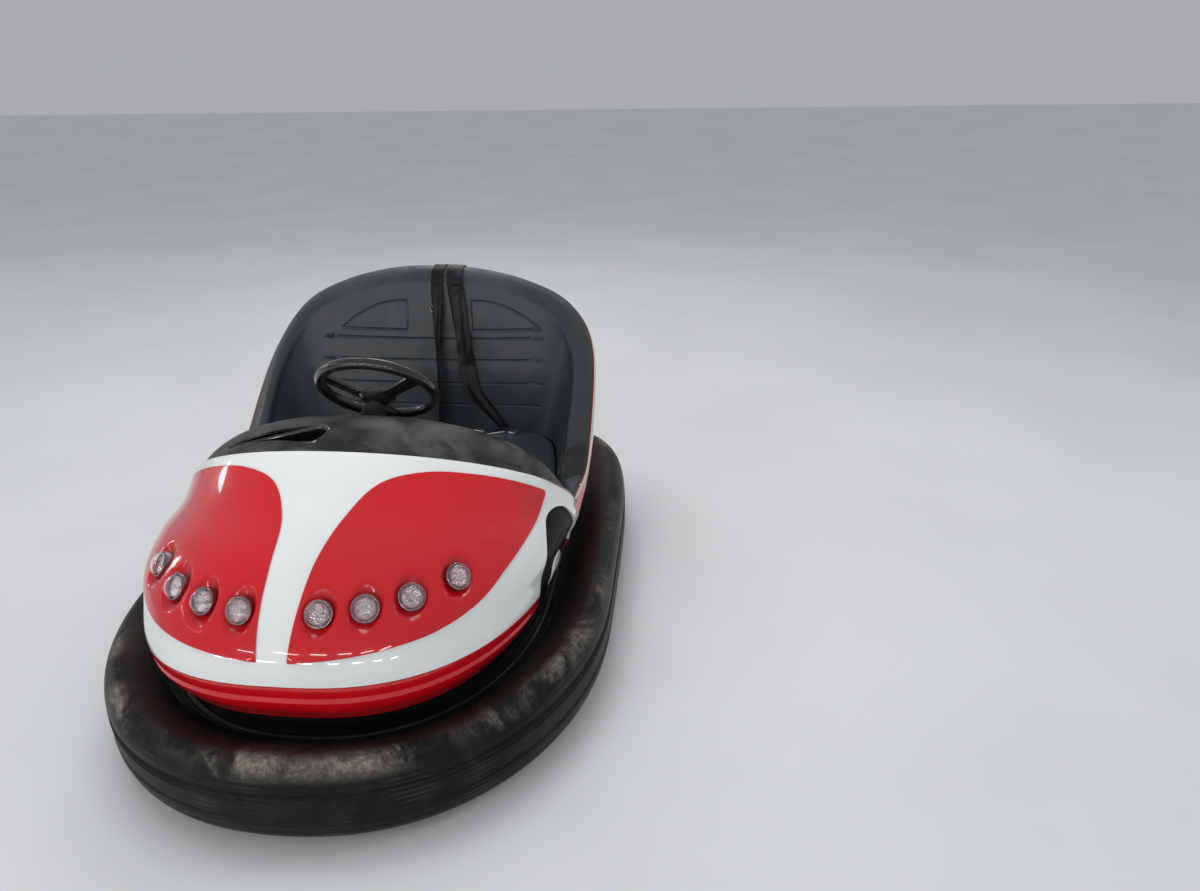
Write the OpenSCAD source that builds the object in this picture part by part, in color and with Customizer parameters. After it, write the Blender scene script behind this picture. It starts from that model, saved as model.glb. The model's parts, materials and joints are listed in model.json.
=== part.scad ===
// Two-seat bumper car: an inflated tyre round a steel chassis, a glass-fibre body with eight lamps,
// a moulded bench seat with two belts, and one steered drive wheel in front of two fixed wheels.
// Millimetres. +Z is up, the nose points to -Y, and the origin is on the floor under the tyre's middle.

/* [Bumper tyre] */
// Overall length over the tyre
tyre_l = 1660; // [1560:5:1760]
// Overall width over the tyre
tyre_w = 1178; // [1140:2:1240]
// Height of the tyre's section
tyre_h = 186; // [170:1:200]
// Width of the tyre's section
tyre_t = 150; // [135:1:165]
// Height of the tyre's underside above the floor
tyre_gap = 20; // [14:1:30]
// Share of the length that lies in front of the widest place
nose_share = 0.41; // [0.36:0.01:0.46]

/* [Body shell] */
// Wall of the glass-fibre shells
shell_wall = 6; // [4:0.5:9]
// Distance from the nose of the body back to the tip of the tyre
nose_setback = 107; // [95:1:125]
// Half width of the body at the sill
body_half = 484; // [470:1:500]
// Height of the sill beside the seat
sill_z = 333; // [315:1:350]
// Place of the sill's lowest point, where the two shells meet
sill_y = 13; // [0:1:40]
// Height of the shells' bottom edge
lip_z = 212; // [208:1:220]
// Thickness of a painted panel laid on the shell
panel_lift = 3; // [2:0.5:5]

/* [Lamps] */
// Radius of a lamp's dome
lamp_r = 24; // [20:0.5:28]
// Width of the bezel round a dome
bezel_w = 4; // [3:0.5:6]

/* [Seat] */
// Height of the backrest's top
seat_top = 811; // [781:2:841]
// Height of the bench cushion
bench_z = 350; // [330:2:365]
// Thickness of the bench cushion
bench_t = 70; // [50:2:90]
// Thickness of the rolled arm and backrest
roll_t = 94; // [80:2:100]
// Width of the narrow belt's webbing
belt_w = 36; // [30:1:46]
// Width of the wide belt's webbing
wide_belt_w = 50; // [40:1:60]
// Thickness of the webbing
belt_t = 2.2; // [1.5:0.1:3]

/* [Steering] */
// Radius of the steering wheel to the middle of its rim
wheel_r = 139; // [130:1:150]
// Radius of the steering wheel's rim section
rim_r = 14; // [11:0.5:16]
// Angle of the column from the vertical, in degrees
column_tilt = 47; // [42:1:50]
// Radius of the steering column's tube
column_r = 16; // [13:0.5:20]

/* [Running gear] */
// Radius of the drive wheel
drive_r = 100; // [90:1:105]
// Width of the drive wheel's tread
drive_w = 62; // [50:1:70]
// Radius of the two fixed wheels
back_r = 75; // [68:1:80]
// Width of a fixed wheel
back_w = 44; // [36:1:50]
// Distance from the tyre's nose back to the drive wheel's axis
drive_setback = 450; // [430:5:480]
// Distance from the tyre's tail forward to the fixed wheels' axle
axle_setback = 360; // [330:5:390]
// Distance from the tyre's side in to the middle of a fixed wheel
wheel_inset = 279; // [249:5:309]
// Radius of the fixed wheels' axle
axle_r = 10; // [8:0.5:12]

/* [Chassis] */
// Height of the floor plate's underside
floor_z = 62; // [56:1:70]
// Thickness of the floor plate
floor_t = 4; // [3:0.5:6]
// Thickness of the steel rim that the tyre sits on
rim_wall = 5; // [4:0.5:7]

/* [Hidden] */

$fn = 48;
// Clearance between pieces of one body, between a shaft and its bore, and between pieces that turn
seat_gap = 0.3;
bore_gap = 0.08;
run_gap = 6;

// Smooth step from 0 to 1.
function smooth(u) = let (v = min(max(u, 0), 1)) v * v * (3 - 2 * v);
function mix(a, b, u) = a + (b - a) * u;
function unit(v) = v / norm(v);

// Row u of a table, with a smooth curve through its rows.
function row(tab, u) =
    let (last = len(tab) - 1, i = min(max(floor(u), 0), last - 1), f = u - i)
    let (b = tab[i], c = tab[i + 1])
    let (a = i > 0 ? tab[i - 1] : 2 * b - c, d = i + 2 <= last ? tab[i + 2] : 2 * c - b)
    b + 0.5 * f * ((c - a) + f * ((2 * a - 5 * b + 4 * c - d) + f * (3 * (b - c) + d - a)));

// Point of an oval with square shoulders: half width b, half length l, exponent n, direction a.
function oval(a, b, l, n) =
    let (c = cos(a), s = sin(a), r = pow(pow(abs(c), n) + pow(abs(s), n), -1 / n)) [b * c * r, l * s * r];

// A solid through closed rings of points, either open with two caps or closed on itself.
module skin(rings, loop = false) {
    n = len(rings);
    m = len(rings[0]);
    sides = [for (i = [0 : n - (loop ? 1 : 2)], j = [0 : m - 1])
        let (e = (i + 1) % n, k = (j + 1) % m)
        let (a = i * m + j, b = i * m + k, c = e * m + k, d = e * m + j)
        each [[a, b, c], [a, c, d]]];
    caps = loop ? [] : [[for (j = [m - 1 : -1 : 0]) j], [for (j = [0 : m - 1]) (n - 1) * m + j]];
    polyhedron(points = [for (r = rings) each r], faces = concat(sides, caps), convexity = 8);
}

drive_y = drive_setback - tyre_l / 2;
axle_y = tyre_l / 2 - axle_setback;
track = tyre_w - 2 * wheel_inset;

// The tyre's plan: rounder at the nose, square at the tail.
nose_l = tyre_l * nose_share;
tail_l = tyre_l - nose_l;
wide_y = -tyre_l / 2 + nose_l;
tyre_half = tyre_w / 2;
nose_n = 2.18;
tail_n = 5;
function tyre_plan(a) =
    let (p = oval(a, tyre_half, a < 0 || a > 180 ? nose_l : tail_l, a < 0 || a > 180 ? nose_n : tail_n))
    [p.x, wide_y + p.y];
// The plan moved inward by d.
function plan(a, d) =
    let (t = unit(tyre_plan(a + 0.5) - tyre_plan(a - 0.5)), p = tyre_plan(a))
    [p.x - t.y * d, p.y + t.x * d];
ring_n = 72;
function ring_a(i) = let (b = -90 + i * 360 / ring_n) b < 0 || b > 180 ? b : b + 7 * sin(4 * b);

// Tyre section as [distance inward from the tread, height above the tyre's underside], in shares.
tyre_section = [[0.15, 0.02], [0.05, 0.12], [0, 0.30], [0, 0.62], [0.03, 0.80], [0.10, 0.91],
    [0.20, 0.98], [0.32, 1.00], [0.50, 0.95], [0.72, 0.84], [0.92, 0.72], [1.00, 0.66], [1.00, 0.20],
    [0.90, 0.06], [0.60, 0], [0.32, 0]];
module tyre() {
    color([0.09, 0.09, 0.1])
        skin([for (i = [0 : ring_n - 1]) [for (s = tyre_section)
            let (p = plan(ring_a(i), s.x * tyre_t)) [p.x, p.y, tyre_gap + s.y * tyre_h]]], loop = true);
}

// Steel rim behind the tyre, with a flange that carries the floor plate.
rim_top = tyre_gap + 0.66 * tyre_h;
rim_in = tyre_t + seat_gap;
function rim_section() = [[rim_in, floor_z], [rim_in, rim_top + 6], [rim_in + rim_wall, rim_top + 6],
    [rim_in + rim_wall, floor_z + rim_wall], [rim_in + 34, floor_z + rim_wall], [rim_in + 34, floor_z]];
module chassis_rim() {
    color([0.16, 0.16, 0.17])
        skin([for (i = [0 : ring_n - 1]) [for (s = rim_section())
            let (p = plan(ring_a(i), s.x)) [p.x, p.y, s.y]]], loop = true);
}

// Floor plate with the drive wheel's round well and the fixed wheels' slots.
well_r = drive_r + 42;
slot_gap = 14;
module floor_outline(d) {
    polygon([for (i = [0 : ring_n - 1]) plan(ring_a(i), d)]);
}
module floor_plate() {
    color([0.2, 0.2, 0.21])
        translate([0, 0, floor_z + rim_wall])
            linear_extrude(floor_t)
                difference() {
                    floor_outline(rim_in + rim_wall + seat_gap);
                    translate([0, drive_y]) circle(r = well_r);
                    translate([-bracket_x - 8, axle_y - axle_r - run_gap])
                        square([2 * bracket_x + 16, 2 * (axle_r + run_gap)]);
                    for (s = [-1, 1])
                        translate([s * track / 2 - back_w / 2 - slot_gap, axle_y - back_r - 12])
                            square([back_w + 2 * slot_gap, 2 * back_r + 24]);
                }
}

// Cross members under the front and the back of the floor plate.
member_w = 40;
member_h = 30;
deck_z = floor_z + rim_wall + floor_t;
member_half = track / 2 + 20;
member_ys = [drive_y + well_r + member_w, 120, axle_y - back_r - 60, axle_y + back_r + 40];
module cross_members() {
    color([0.18, 0.18, 0.19])
        for (y = member_ys)
            translate([-member_half, y - member_w / 2, floor_z + rim_wall - member_h])
                difference() {
                    cube([2 * member_half, member_w, member_h]);
                    translate([-1, 3, 3]) cube([2 * member_half + 2, member_w - 6, member_h - 6]);
                }
}

// Levels of the front body, from the bottom edge of the red lip (t = -0.4) through the seam under the white
// shell (t = 0) up to the dash (t = 1).
// Columns: setback of the nose, rise of the nose above lip_z, half width less body_half,
// share of the side's height from lip_z up to the sill, plan exponent, drop exponent.
hood = [
    [34, 0, -40, 0, 2.65, 1.04],
    [14, 44, -26, 0.13, 2.65, 1.04],
    [0, 101, -14, 0.30, 2.65, 1.04],
    [13, 158, -8, 0.48, 2.55, 1.00],
    [66, 221, 6, 0.645, 2.48, 0.96],
    [154, 277, 6, 0.777, 2.30, 0.96],
    [280, 322, 1, 0.893, 2.12, 0.97],
    [418, 399, 0, 1, 2.10, 0.92]];
nose_y = -tyre_l / 2 + nose_setback;
function level(r, phi) =
    let (o = oval(phi - 90, 1, 1, r[4]), g = -o.y, h = sign(g) * pow(abs(g), r[5]))
    let (z_side = lip_z + r[3] * (sill_z - lip_z))
    [(body_half + r[2]) * o.x, sill_y - (sill_y - nose_y - r[0]) * g, z_side + (lip_z + r[1] - z_side) * h];
function hood_at(phi, t) = level(row(hood, (t + 0.4) * 5), phi);
function hood_normal(phi, t) =
    let (a = hood_at(phi + 1, t) - hood_at(phi - 1, t), b = hood_at(phi, t + 0.01) - hood_at(phi, t - 0.01))
    unit(cross(a, b));
// A point lifted off the hood, kept in the plane of the joint at the sill.
function hood_off(phi, t, d) =
    let (p = hood_at(phi, t) + d * hood_normal(phi, t)) [p.x, abs(phi) > 89.9 ? sill_y : p.y, p.z];
hood_steps = 32;
function hood_phi(i) = -90 + 180 * i / hood_steps;
// A layer of the front body between the levels t0 and t1, in n steps, from d0 to d1 off its surface.
module hood_layer(t0, t1, n, d0, d1, from = 0, to = hood_steps) {
    skin([for (i = [from : to]) concat(
        [for (j = [0 : n]) hood_off(hood_phi(i), mix(t0, t1, j / n), d1)],
        [for (j = [n : -1 : 0]) hood_off(hood_phi(i), mix(t0, t1, j / n), d0)])]);
}
// All that lies under the front body's surface lifted by d, down to half way in.
module under_hood(d) {
    skin([for (i = [0 : hood_steps])
        let (phi = hood_phi(i), top = hood_at(phi, 1), low = hood_at(phi, -0.4)) concat(
            [for (j = [-4 : 2 : 10]) hood_off(phi, j / 10, d)],
            [[top.x / 2, (top.y + sill_y) / 2, top.z], [low.x / 2, (low.y + sill_y) / 2, low.z]])]);
}

module front_shell() {
    color([0.93, 0.94, 0.94])
        difference() {
            hood_layer(0, 1, 10, -shell_wall, 0);
            mock_wheel_arches();
            lamp_holes();
        }
}

lip_end = -0.003;
module lip_band() {
    color([0.75, 0.05, 0.07])
        difference() {
            hood_layer(-0.4, lip_end, 3, -shell_wall, 0);
            mock_wheel_arches();
        }
}

// Leaf-shaped eye panels. Columns: phi and t of the upper edge, phi and t of the lower edge.
eye = [
    [3.6, 0.173, 3.6, 0.173],
    [4.4, 0.429, 15.0, 0.199],
    [5.4, 0.624, 25.6, 0.228],
    [7.7, 0.778, 35.1, 0.267],
    [13.5, 0.896, 42.8, 0.346],
    [24.1, 0.945, 48.7, 0.472],
    [36.5, 0.955, 54.5, 0.599],
    [49.6, 0.950, 59.7, 0.748],
    [63.0, 0.930, 63.0, 0.930]];
eye_steps = 20;
panel_gap = 0.7;
function eye_at(s, w, d) =
    let (r = row(eye, s * (len(eye) - 1))) hood_off(mix(r[2], r[0], w), mix(r[3], r[1], w), d);
module eye_cutter() {
    skin([for (i = [0 : eye_steps]) let (s = 0.002 + 0.996 * i / eye_steps) concat(
        [for (w = [0, 0.5, 1]) eye_at(s, w, 20)], [for (w = [1, 0.5, 0]) eye_at(s, w, -20)])]);
}
module eye_panels() {
    color([0.78, 0.05, 0.08])
        difference() {
            for (m = [0, 1])
                mirror([m, 0, 0])
                    intersection() {
                        hood_layer(0.1, 1, 9, panel_gap, panel_gap + panel_lift, hood_steps / 2, 28);
                        eye_cutter();
                    }
            lamp_holes();
        }
}

// Lamps. Columns: phi and t on the hood.
lamps = [[9.2, 0.404], [18.8, 0.422], [27.9, 0.452], [37.3, 0.507]];
lamp_base = lamp_r + bezel_w;
module at_lamps() {
    for (side = [-1, 1], q = lamps) {
        p = hood_at(q.x, q.y);
        n = hood_normal(q.x, q.y);
        f = unit([n.x, n.y, n.z * 0.55]);
        translate([side * p.x, p.y, p.z])
            rotate([0, 0, atan2(f.y, side * f.x)])
                rotate([0, acos(f.z), 0])
                    children();
    }
}
module lamp_holes() {
    at_lamps() translate([0, 0, -40]) cylinder(r = lamp_base + 2 * seat_gap, h = 80, $fn = 24);
}
module lamp_bezels() {
    color([0.72, 0.72, 0.74])
        at_lamps()
            rotate_extrude()
                polygon([[lamp_r + seat_gap, -22], [lamp_base, -22], [lamp_base, 4],
                    [lamp_base - 2, 6], [lamp_r + seat_gap, 6]]);
}
module lamp_reflectors() {
    color([0.85, 0.86, 0.88])
        at_lamps()
            rotate_extrude()
                polygon([[0, -20], [lamp_r, -20], [lamp_r, 1], [lamp_r - 2, 1],
                    [lamp_r * 0.6, -12], [0, -16]]);
}
module lamp_lenses() {
    color([0.9, 0.92, 0.95, 0.6])
        at_lamps()
            translate([0, 0, 1 + seat_gap])
                rotate_extrude()
                    intersection() {
                        translate([0, 6]) scale([1, 0.62]) circle(r = lamp_r);
                        translate([0, 0]) square([lamp_r + 1, 40]);
                    }
}

// Mock road wheel in a round recess of each flank: a black cup with a raised tyre and a white hub.
mock_r = 148;
mock_y = -190;
mock_z = 262;
mock_hub_r = 48;
cup_x = body_half - 50;
cup_wall = 4;
cup_l = 100;
module on_mock_axis(x) {
    for (m = [0, 1])
        mirror([m, 0, 0]) translate([x, mock_y, mock_z]) rotate([0, 90, 0]) children();
}
module below_lip() {
    translate([-600, -600, 0]) cube([1200, 900, lip_z]);
}
module mock_wheel_arches() {
    on_mock_axis(cup_x - 30) cylinder(r = mock_r, h = cup_l + 20);
}
// Space in front of the mock wheel, as [radius, distance from the cup's back].
cup_room = [[0, cup_wall], [56, cup_wall], [62, 10], [78, 16], [112, 17], [130, 12], [138, cup_wall],
    [mock_r - cup_wall, cup_wall],
    [mock_r - cup_wall, cup_l + 10], [0, cup_l + 10]];
module mock_wheels() {
    color([0.03, 0.03, 0.035])
        difference() {
            intersection() {
                on_mock_axis(cup_x) cylinder(r = mock_r - seat_gap, h = cup_l);
                under_hood(0);
            }
            on_mock_axis(cup_x) rotate_extrude() polygon(cup_room);
            below_lip();
        }
}
module mock_hubs() {
    color([0.8, 0.8, 0.8])
        on_mock_axis(cup_x + cup_wall + seat_gap)
            rotate_extrude()
                polygon([[0, 0], [mock_hub_r, 0], [mock_hub_r, 12], [mock_hub_r - 4, 15],
                    [14, 15], [12, 20], [0, 20]]);
}

// Rear shell levels, one for each level of the hood, which also gives the joint's width and height.
// Columns: half width away from the joint less body_half, setback from the tyre's tail, plan exponent.
tail = [
    [-40, 122, 3.6],
    [-24, 112, 3.8],
    [-8, 108, 4.1],
    [2, 112, 4.5],
    [10, 126, 5.0],
    [15, 146, 5.6],
    [17, 180, 6.4],
    [17, 215, 7.1]];
rim_rise = seat_top - 28 - sill_z;
function fold(a) = a > 90 ? 180 - a : a;
// Share of the rise reached every 10 degrees from the side round to the back.
rim_share = [0, 0.02, 0.123, 0.338, 0.575, 0.793, 0.907, 0.966, 0.995, 1];
function rim_z(a) = sill_z + rim_rise * row(rim_share, fold(a) / 10);
function tail_at(a, t) =
    let (r = row(tail, t * 7), h = row(hood, t * 7), w = body_half + mix(h[2], r[0], smooth(fold(a) / 16)))
    let (o = oval(a, w, tyre_l / 2 - r[1] - sill_y, r[2]))
    [o.x, sill_y + o.y, lip_z + (rim_z(a) - lip_z) * h[3]];
function tail_normal(a, t) =
    let (p = tail_at(a + 1, t) - tail_at(a - 1, t), q = tail_at(a, t + 0.01) - tail_at(a, t - 0.01))
    unit(cross(p, q));
function at_joint(a, p) = [p.x, fold(a) < 0.1 ? sill_y : p.y, p.z];
function tail_off(a, t, d) = at_joint(a, tail_at(a, t) + d * tail_normal(a, t));
// The rim's point moved inward by d and up by h.
function rim_at(a, d, h) =
    let (p = tail_at(a, 1), n = tail_normal(a, 1), f = unit([n.x, n.y]))
    at_joint(a, [p.x - f.x * d, p.y - f.y * d, p.z + h]);
tail_steps = 40;
function tail_a(i) = let (b = 180 * i / tail_steps) b + 5 * sin(4 * b);
flange_w = 20;
flange_h = 5;
rear_rim = [[3, 3.5], [8, flange_h], [flange_w, flange_h], [flange_w, flange_h - shell_wall]];
module rear_shell() {
    color([0.75, 0.05, 0.07])
        skin([for (i = [0 : tail_steps]) let (a = tail_a(i)) concat(
            [for (j = [0 : 8]) tail_off(a, j / 8, 0)],
            [for (q = rear_rim) rim_at(a, q.x, q.y)],
            [for (j = [6 : -1 : 0]) tail_off(a, j / 6, -shell_wall)])]);
}

// Skirt between the shells' bottom edge and the tyre.
skirt_wall = 4;
function body_plan(a, d) =
    let (q = a < 0 || a > 180 ? level(hood[0], a < 0 ? a + 90 : a - 270) : tail_at(a, 0))
    let (u = unit([q.x, q.y - sill_y])) [q.x - u.x * d, q.y - u.y * d];
skirt_in = 14;
ledge_in = 3;
ledge_h = 5;
module skirt() {
    low = rim_in + rim_wall + seat_gap;
    color([0.04, 0.04, 0.05])
        skin([for (i = [0 : ring_n - 1])
            let (a = ring_a(i), p = plan(a, low), q = plan(a, low + skirt_wall), c = body_plan(a, skirt_in))
            let (e = body_plan(a, ledge_in), f = body_plan(a, skirt_in + skirt_wall))
            [[p.x, p.y, deck_z], [p.x, p.y, rim_top + 12], [c.x, c.y, lip_z - ledge_h],
                [e.x, e.y, lip_z - ledge_h], [e.x, e.y, lip_z], [f.x, f.y, lip_z],
                [q.x, q.y, rim_top + 12], [q.x, q.y, deck_z]]], loop = true);
}

// Dash cover between the hood and the cockpit.
// Columns: share of the way back from the hood, height of the front middle above the sill, half width
// less body_half, plan exponent, drop exponent.
dash_rows = [
    [0, 276, -10, 2.10, 0.92],
    [0.2585, 294, -14, 2.10, 0.92],
    [0.555, 296, -22, 2.12, 0.92],
    [0.788, 284, -30, 2.14, 0.92],
    [0.949, 255, -38, 2.16, 0.92],
    [1, 205, -42, 2.18, 0.90]];
dash_front = nose_y + hood[7][0] + 9;
dash_back = -60;
function dash_at(phi, t) =
    let (r = row(dash_rows, t * 5), o = oval(phi - 90, 1, 1, r[3]), g = -o.y)
    let (h = sign(g) * pow(abs(g), r[4]), y = mix(dash_front, dash_back, r[0]))
    [(body_half + r[2]) * o.x, sill_y - (sill_y - y) * g, sill_z - 2 + r[1] * h];
function dash_normal(phi, t) =
    let (a = dash_at(phi + 1, t) - dash_at(phi - 1, t), b = dash_at(phi, t + 0.01) - dash_at(phi, t - 0.01))
    unit(cross(a, b));
dash_wall = 5;
dash_gap = 0.5;
dash_t = [0, 0.2, 0.4, 0.55, 0.7, 0.8, 0.9, 1];
function at_sill(phi, p) = [p.x, abs(phi) > 89.9 ? sill_y : p.y, p.z];
function dash_off(phi, t, d) = at_sill(phi, dash_at(phi, t) + d * dash_normal(phi, t));
module dash() {
    color([0.1, 0.1, 0.11])
        difference() {
            skin([for (i = [0 : hood_steps])
                let (phi = hood_phi(i), lap = hood_off(phi, 0.96, -shell_wall - dash_gap)) concat(
                    [lap, hood_off(phi, 1, -shell_wall - dash_gap)],
                    [for (t = dash_t) dash_off(phi, t, 0)],
                    [for (j = [len(dash_t) - 1 : -1 : 0]) dash_off(phi, dash_t[j], -dash_wall)],
                    [at_sill(phi, lap - dash_wall * dash_normal(phi, 0))])]);
            column_cut();
            tray_prism(0, 100);
        }
}

// Pointed storage slot in the dash, from its round inner end to its narrow outer end.
tray_r = 33;
tray_tip_r = 4;
tray_length = 229;
tray_wall = 2.5;
tray_floor = 585;
module tray_prism(inset, height, z = 0) {
    a = acos((tray_r - tray_tip_r) / tray_length);
    translate([-73, dash_front + 61, tray_floor])
        rotate([0, 9, 172.5])
            translate([0, 0, z])
                linear_extrude(height)
                    polygon([
                        for (k = [0 : 8]) let (b = a + k * (360 - 2 * a) / 8)
                            (tray_r - inset) * [cos(b), sin(b)],
                        for (k = [-1 : 1])
                            [tray_length, 0] + (tray_tip_r - inset) * [cos(k * a), sin(k * a)]]);
}
module dash_tray() {
    color([0.02, 0.02, 0.02])
        difference() {
            intersection() {
                tray_prism(seat_gap, 100);
                skin([for (i = [0 : hood_steps]) let (phi = hood_phi(i)) concat(
                    [for (t = dash_t) dash_off(phi, t, 0)],
                    [for (t = [1, 0]) dash_at(phi, t) - [0, 0, 120]])]);
            }
            tray_prism(tray_wall, 100, tray_wall);
        }
}

// Steering axis: from a point on the column up to the wheel.
wheel_y = 0;
wheel_z = 637;
column_low = drive_y / sin(column_tilt) + 14;
module on_column() {
    translate([0, wheel_y, wheel_z]) rotate([-column_tilt, 0, 0]) children();
}
hole_r = 34;
module column_cut() {
    on_column() translate([0, 0, -400]) cylinder(r = hole_r, h = 390);
}
boot_low = -104;
module column_boot() {
    color([0.06, 0.06, 0.07])
        on_column()
            difference() {
                union() {
                    translate([0, 0, boot_low]) cylinder(r = hole_r - seat_gap, h = 20);
                    translate([0, 0, boot_low]) cylinder(r = 25, h = 58);
                    for (k = [0 : 3])
                        translate([0, 0, boot_low + 22 + k * 10]) cylinder(r = 32 - 2 * k, h = 6);
                }
                translate([0, 0, boot_low - 1]) cylinder(r = column_r + run_gap, h = 60);
            }
}

// Dished hub as [radius, height on the column], and three broad spokes that rise to the rim.
hub_low = -40;
wheel_hub = [[0, hub_low], [26, hub_low], [46, -18], [44, -14], [30, -22], [0, -24]];
module steering_wheel() {
    color([0.05, 0.05, 0.055])
        on_column() {
            rotate_extrude() translate([wheel_r, 0]) circle(r = rim_r, $fn = 24);
            rotate_extrude() polygon(wheel_hub);
            for (k = [0 : 2])
                rotate([0, 0, 90 + k * 120])
                    translate([36, -19, -23]) rotate([0, -11, 0]) cube([wheel_r - 44, 38, 8]);
        }
}
module steering_column() {
    color([0.4, 0.4, 0.42])
        on_column() translate([0, 0, column_low]) cylinder(r = column_r, h = hub_low - column_low);
}
post_at = -190;
post_w = 90;
module column_post() {
    color([0.3, 0.3, 0.32])
        difference() {
            union() {
                on_column() translate([0, 0, post_at - 20]) cylinder(r = 34, h = 40);
                translate([-post_w / 2, post_at * sin(column_tilt) - 4, deck_z])
                    cube([post_w, 8, wheel_z + post_at * cos(column_tilt) - deck_z]);
            }
            on_column() translate([0, 0, post_at - 60]) cylinder(r = column_r + bore_gap, h = 120);
        }
}

// Moulded seat: a roll inside the rear shell's rim, running down to a foot round the bench.
seat_wall = 5;
roll_in = flange_w - 12;
foot_y = 425;
foot_half = 374;
foot_flare = 63;
function foot_at(a, d) =
    let (o = oval(a, 1, 1, 9), v = o.y)
    [o.x * (foot_half - d + foot_flare * (1 - v)), sill_y + v * (foot_y - d - sill_y)];
// The seat's section in direction a, as [distance inward from the roll's outer side, height].
function seat_path(a) =
    let (rim = rim_at(a, roll_in, 0), f = foot_at(a, 0), way = norm([f.x - rim.x, f.y - rim.y]))
    let (t = min(roll_t, way - 2), rise = 12 + 16 * smooth(fold(a) / 80), top = rim.z + rise)
    let (low = top - 0.64 * t, foot = min(bench_z - 10, low - 8))
    [[0, rim.z + flange_h + seat_gap], [0, rim.z + max(0.4 * rise, flange_h + 1.5)],
        [0.07 * t, rim.z + 0.8 * rise], [0.24 * t, top], [0.5 * t, top],
        [0.75 * t, top - 0.1 * t], [0.92 * t, top - 0.32 * t], [t, low],
        [mix(t, way, 0.33), mix(low, foot, 0.33)], [mix(t, way, 0.67), mix(low, foot, 0.67)],
        [way, foot]];
last_k = 10;
function path_normal(p, k) =
    let (u = unit(p[min(k + 1, last_k)] - p[max(k - 1, 0)])) [u.y, -u.x];
// Point k of the section, moved d off the visible side.
function seat_at(a, k, d) =
    let (p = seat_path(a), i = min(floor(k), last_k - 1), g = k - i)
    let (q = mix(p[i], p[i + 1], g) - d * unit(mix(path_normal(p, i), path_normal(p, i + 1), g)))
    let (rim = rim_at(a, roll_in, 0), f = foot_at(a, 0), u = unit([f.x - rim.x, f.y - rim.y]))
    let (least = k < 3 ? rim.z + flange_h + seat_gap + 0.4 * k : 0)
    [rim.x + u.x * q.x, max(rim.y + u.y * q.x, sill_y + 1), max(q.y, least)];
middle_path = seat_path(90);
roll_y = rim_at(90, roll_in, 0).y - sill_y;
// Direction of the point k that lies x beside the middle.
function seat_dir(x, k) =
    let (i = min(floor(k), last_k - 1)) atan2(roll_y - mix(middle_path[i], middle_path[i + 1], k - i).x, x);
// Level grooves across each side of the backrest.
groove_zs = [615, 552, 484, 421];
groove_w = 4.4;
groove_d = 2;
groove_x = [90, 342];
groove_rows = [for (g = groove_zs) each [[g + groove_w / 2, 0], [g, -groove_d], [g - groove_w / 2, 0]]];
function groove_at(a, j) =
    let (p = seat_path(a), r = groove_rows[j], even = (j + 1) / (len(groove_rows) + 1))
    let (level_m = (p[7].y - r[0]) / (p[7].y - p[last_k].y))
    let (k = 7 + 3 * mix(even, level_m, smooth((fold(a) - 46) / 8)))
    let (x = abs(seat_at(a, k, 0).x))
    seat_at(a, k, x > groove_x[0] && x < groove_x[1] ? r[1] : 0);
module seat_shell() {
    color([0.09, 0.09, 0.1])
        skin([for (i = [0 : tail_steps]) let (a = tail_a(i)) concat(
            [for (k = [0 : 7]) seat_at(a, k, 0)],
            [for (j = [0 : len(groove_rows) - 1]) groove_at(a, j)],
            [seat_at(a, last_k, 0)],
            [for (k = [last_k : -1 : 0]) seat_at(a, k, -seat_wall)])]);
}
bench_front = 70;
bench_gap = 1.5;
bench_nose = 26;
module seat_bench() {
    color([0.11, 0.11, 0.12])
        intersection() {
            translate([0, 0, bench_z - bench_t])
                linear_extrude(bench_t) polygon([for (i = [0 : tail_steps]) foot_at(tail_a(i), bench_gap)]);
            translate([-500, 0, 0])
                rotate([90, 0, 90])
                    linear_extrude(1000) {
                        translate([bench_front + bench_nose, bench_z - bench_t])
                            square([400, bench_t]);
                        translate([bench_front, bench_z - bench_t])
                            square([bench_nose, bench_t - bench_nose]);
                        translate([bench_front + bench_nose, bench_z - bench_nose])
                            circle(r = bench_nose);
                    }
        }
}
// Open box under the bench, clear of the skirt and of the fixed wheels.
box_wall = 5;
box_front = bench_front + 10;
box_half = min(foot_half - 4, tyre_half - 219);
box_l = axle_y - back_r - 25 - box_front;
module seat_box() {
    h = bench_z - bench_t - deck_z;
    color([0.08, 0.08, 0.09])
        translate([-box_half, box_front, deck_z])
            difference() {
                cube([2 * box_half, box_l, h]);
                translate([box_wall, box_wall, -1])
                    cube([2 * (box_half - box_wall), box_l - 2 * box_wall, h + 2]);
            }
}
// Belts lie on the backrest, pass over the roll and the rim, and end under a plate on the back shell.
// Columns: place along the seat's section (below 1 on the shell), middle of the narrow and of the wide belt.
belt_line = [
    [-3, 24, 110],
    [-2, 24, 111],
    [-1, 24, 112],
    [0, 24, 112],
    [1, 24, 113],
    [2, 24, 113],
    [3, 24, 114],
    [4, 24, 115],
    [5, 24, 116],
    [6, 24, 117],
    [7, 24, 119],
    [8, 24, 142],
    [9, 24, 190],
    [9.85, 24, 226]];
belt_gap = 0.4;
anchor_t = [0.90, 0.955];
function belt_at(x, k, d) =
    let (a = k < 1 ? atan2(roll_y, x) : seat_dir(x, k))
    k < -2.5 ? tail_off(a, 0.92, d)
    : k < -1.5 ? tail_off(a, 1, d) + [0, 0, 1.5]
    : k < -0.5 ? rim_at(a, 3.5, flange_h + d)
    : k < 0.5 ? rim_at(a, roll_in - d, flange_h + d)
    : seat_at(a, k, d);
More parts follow.
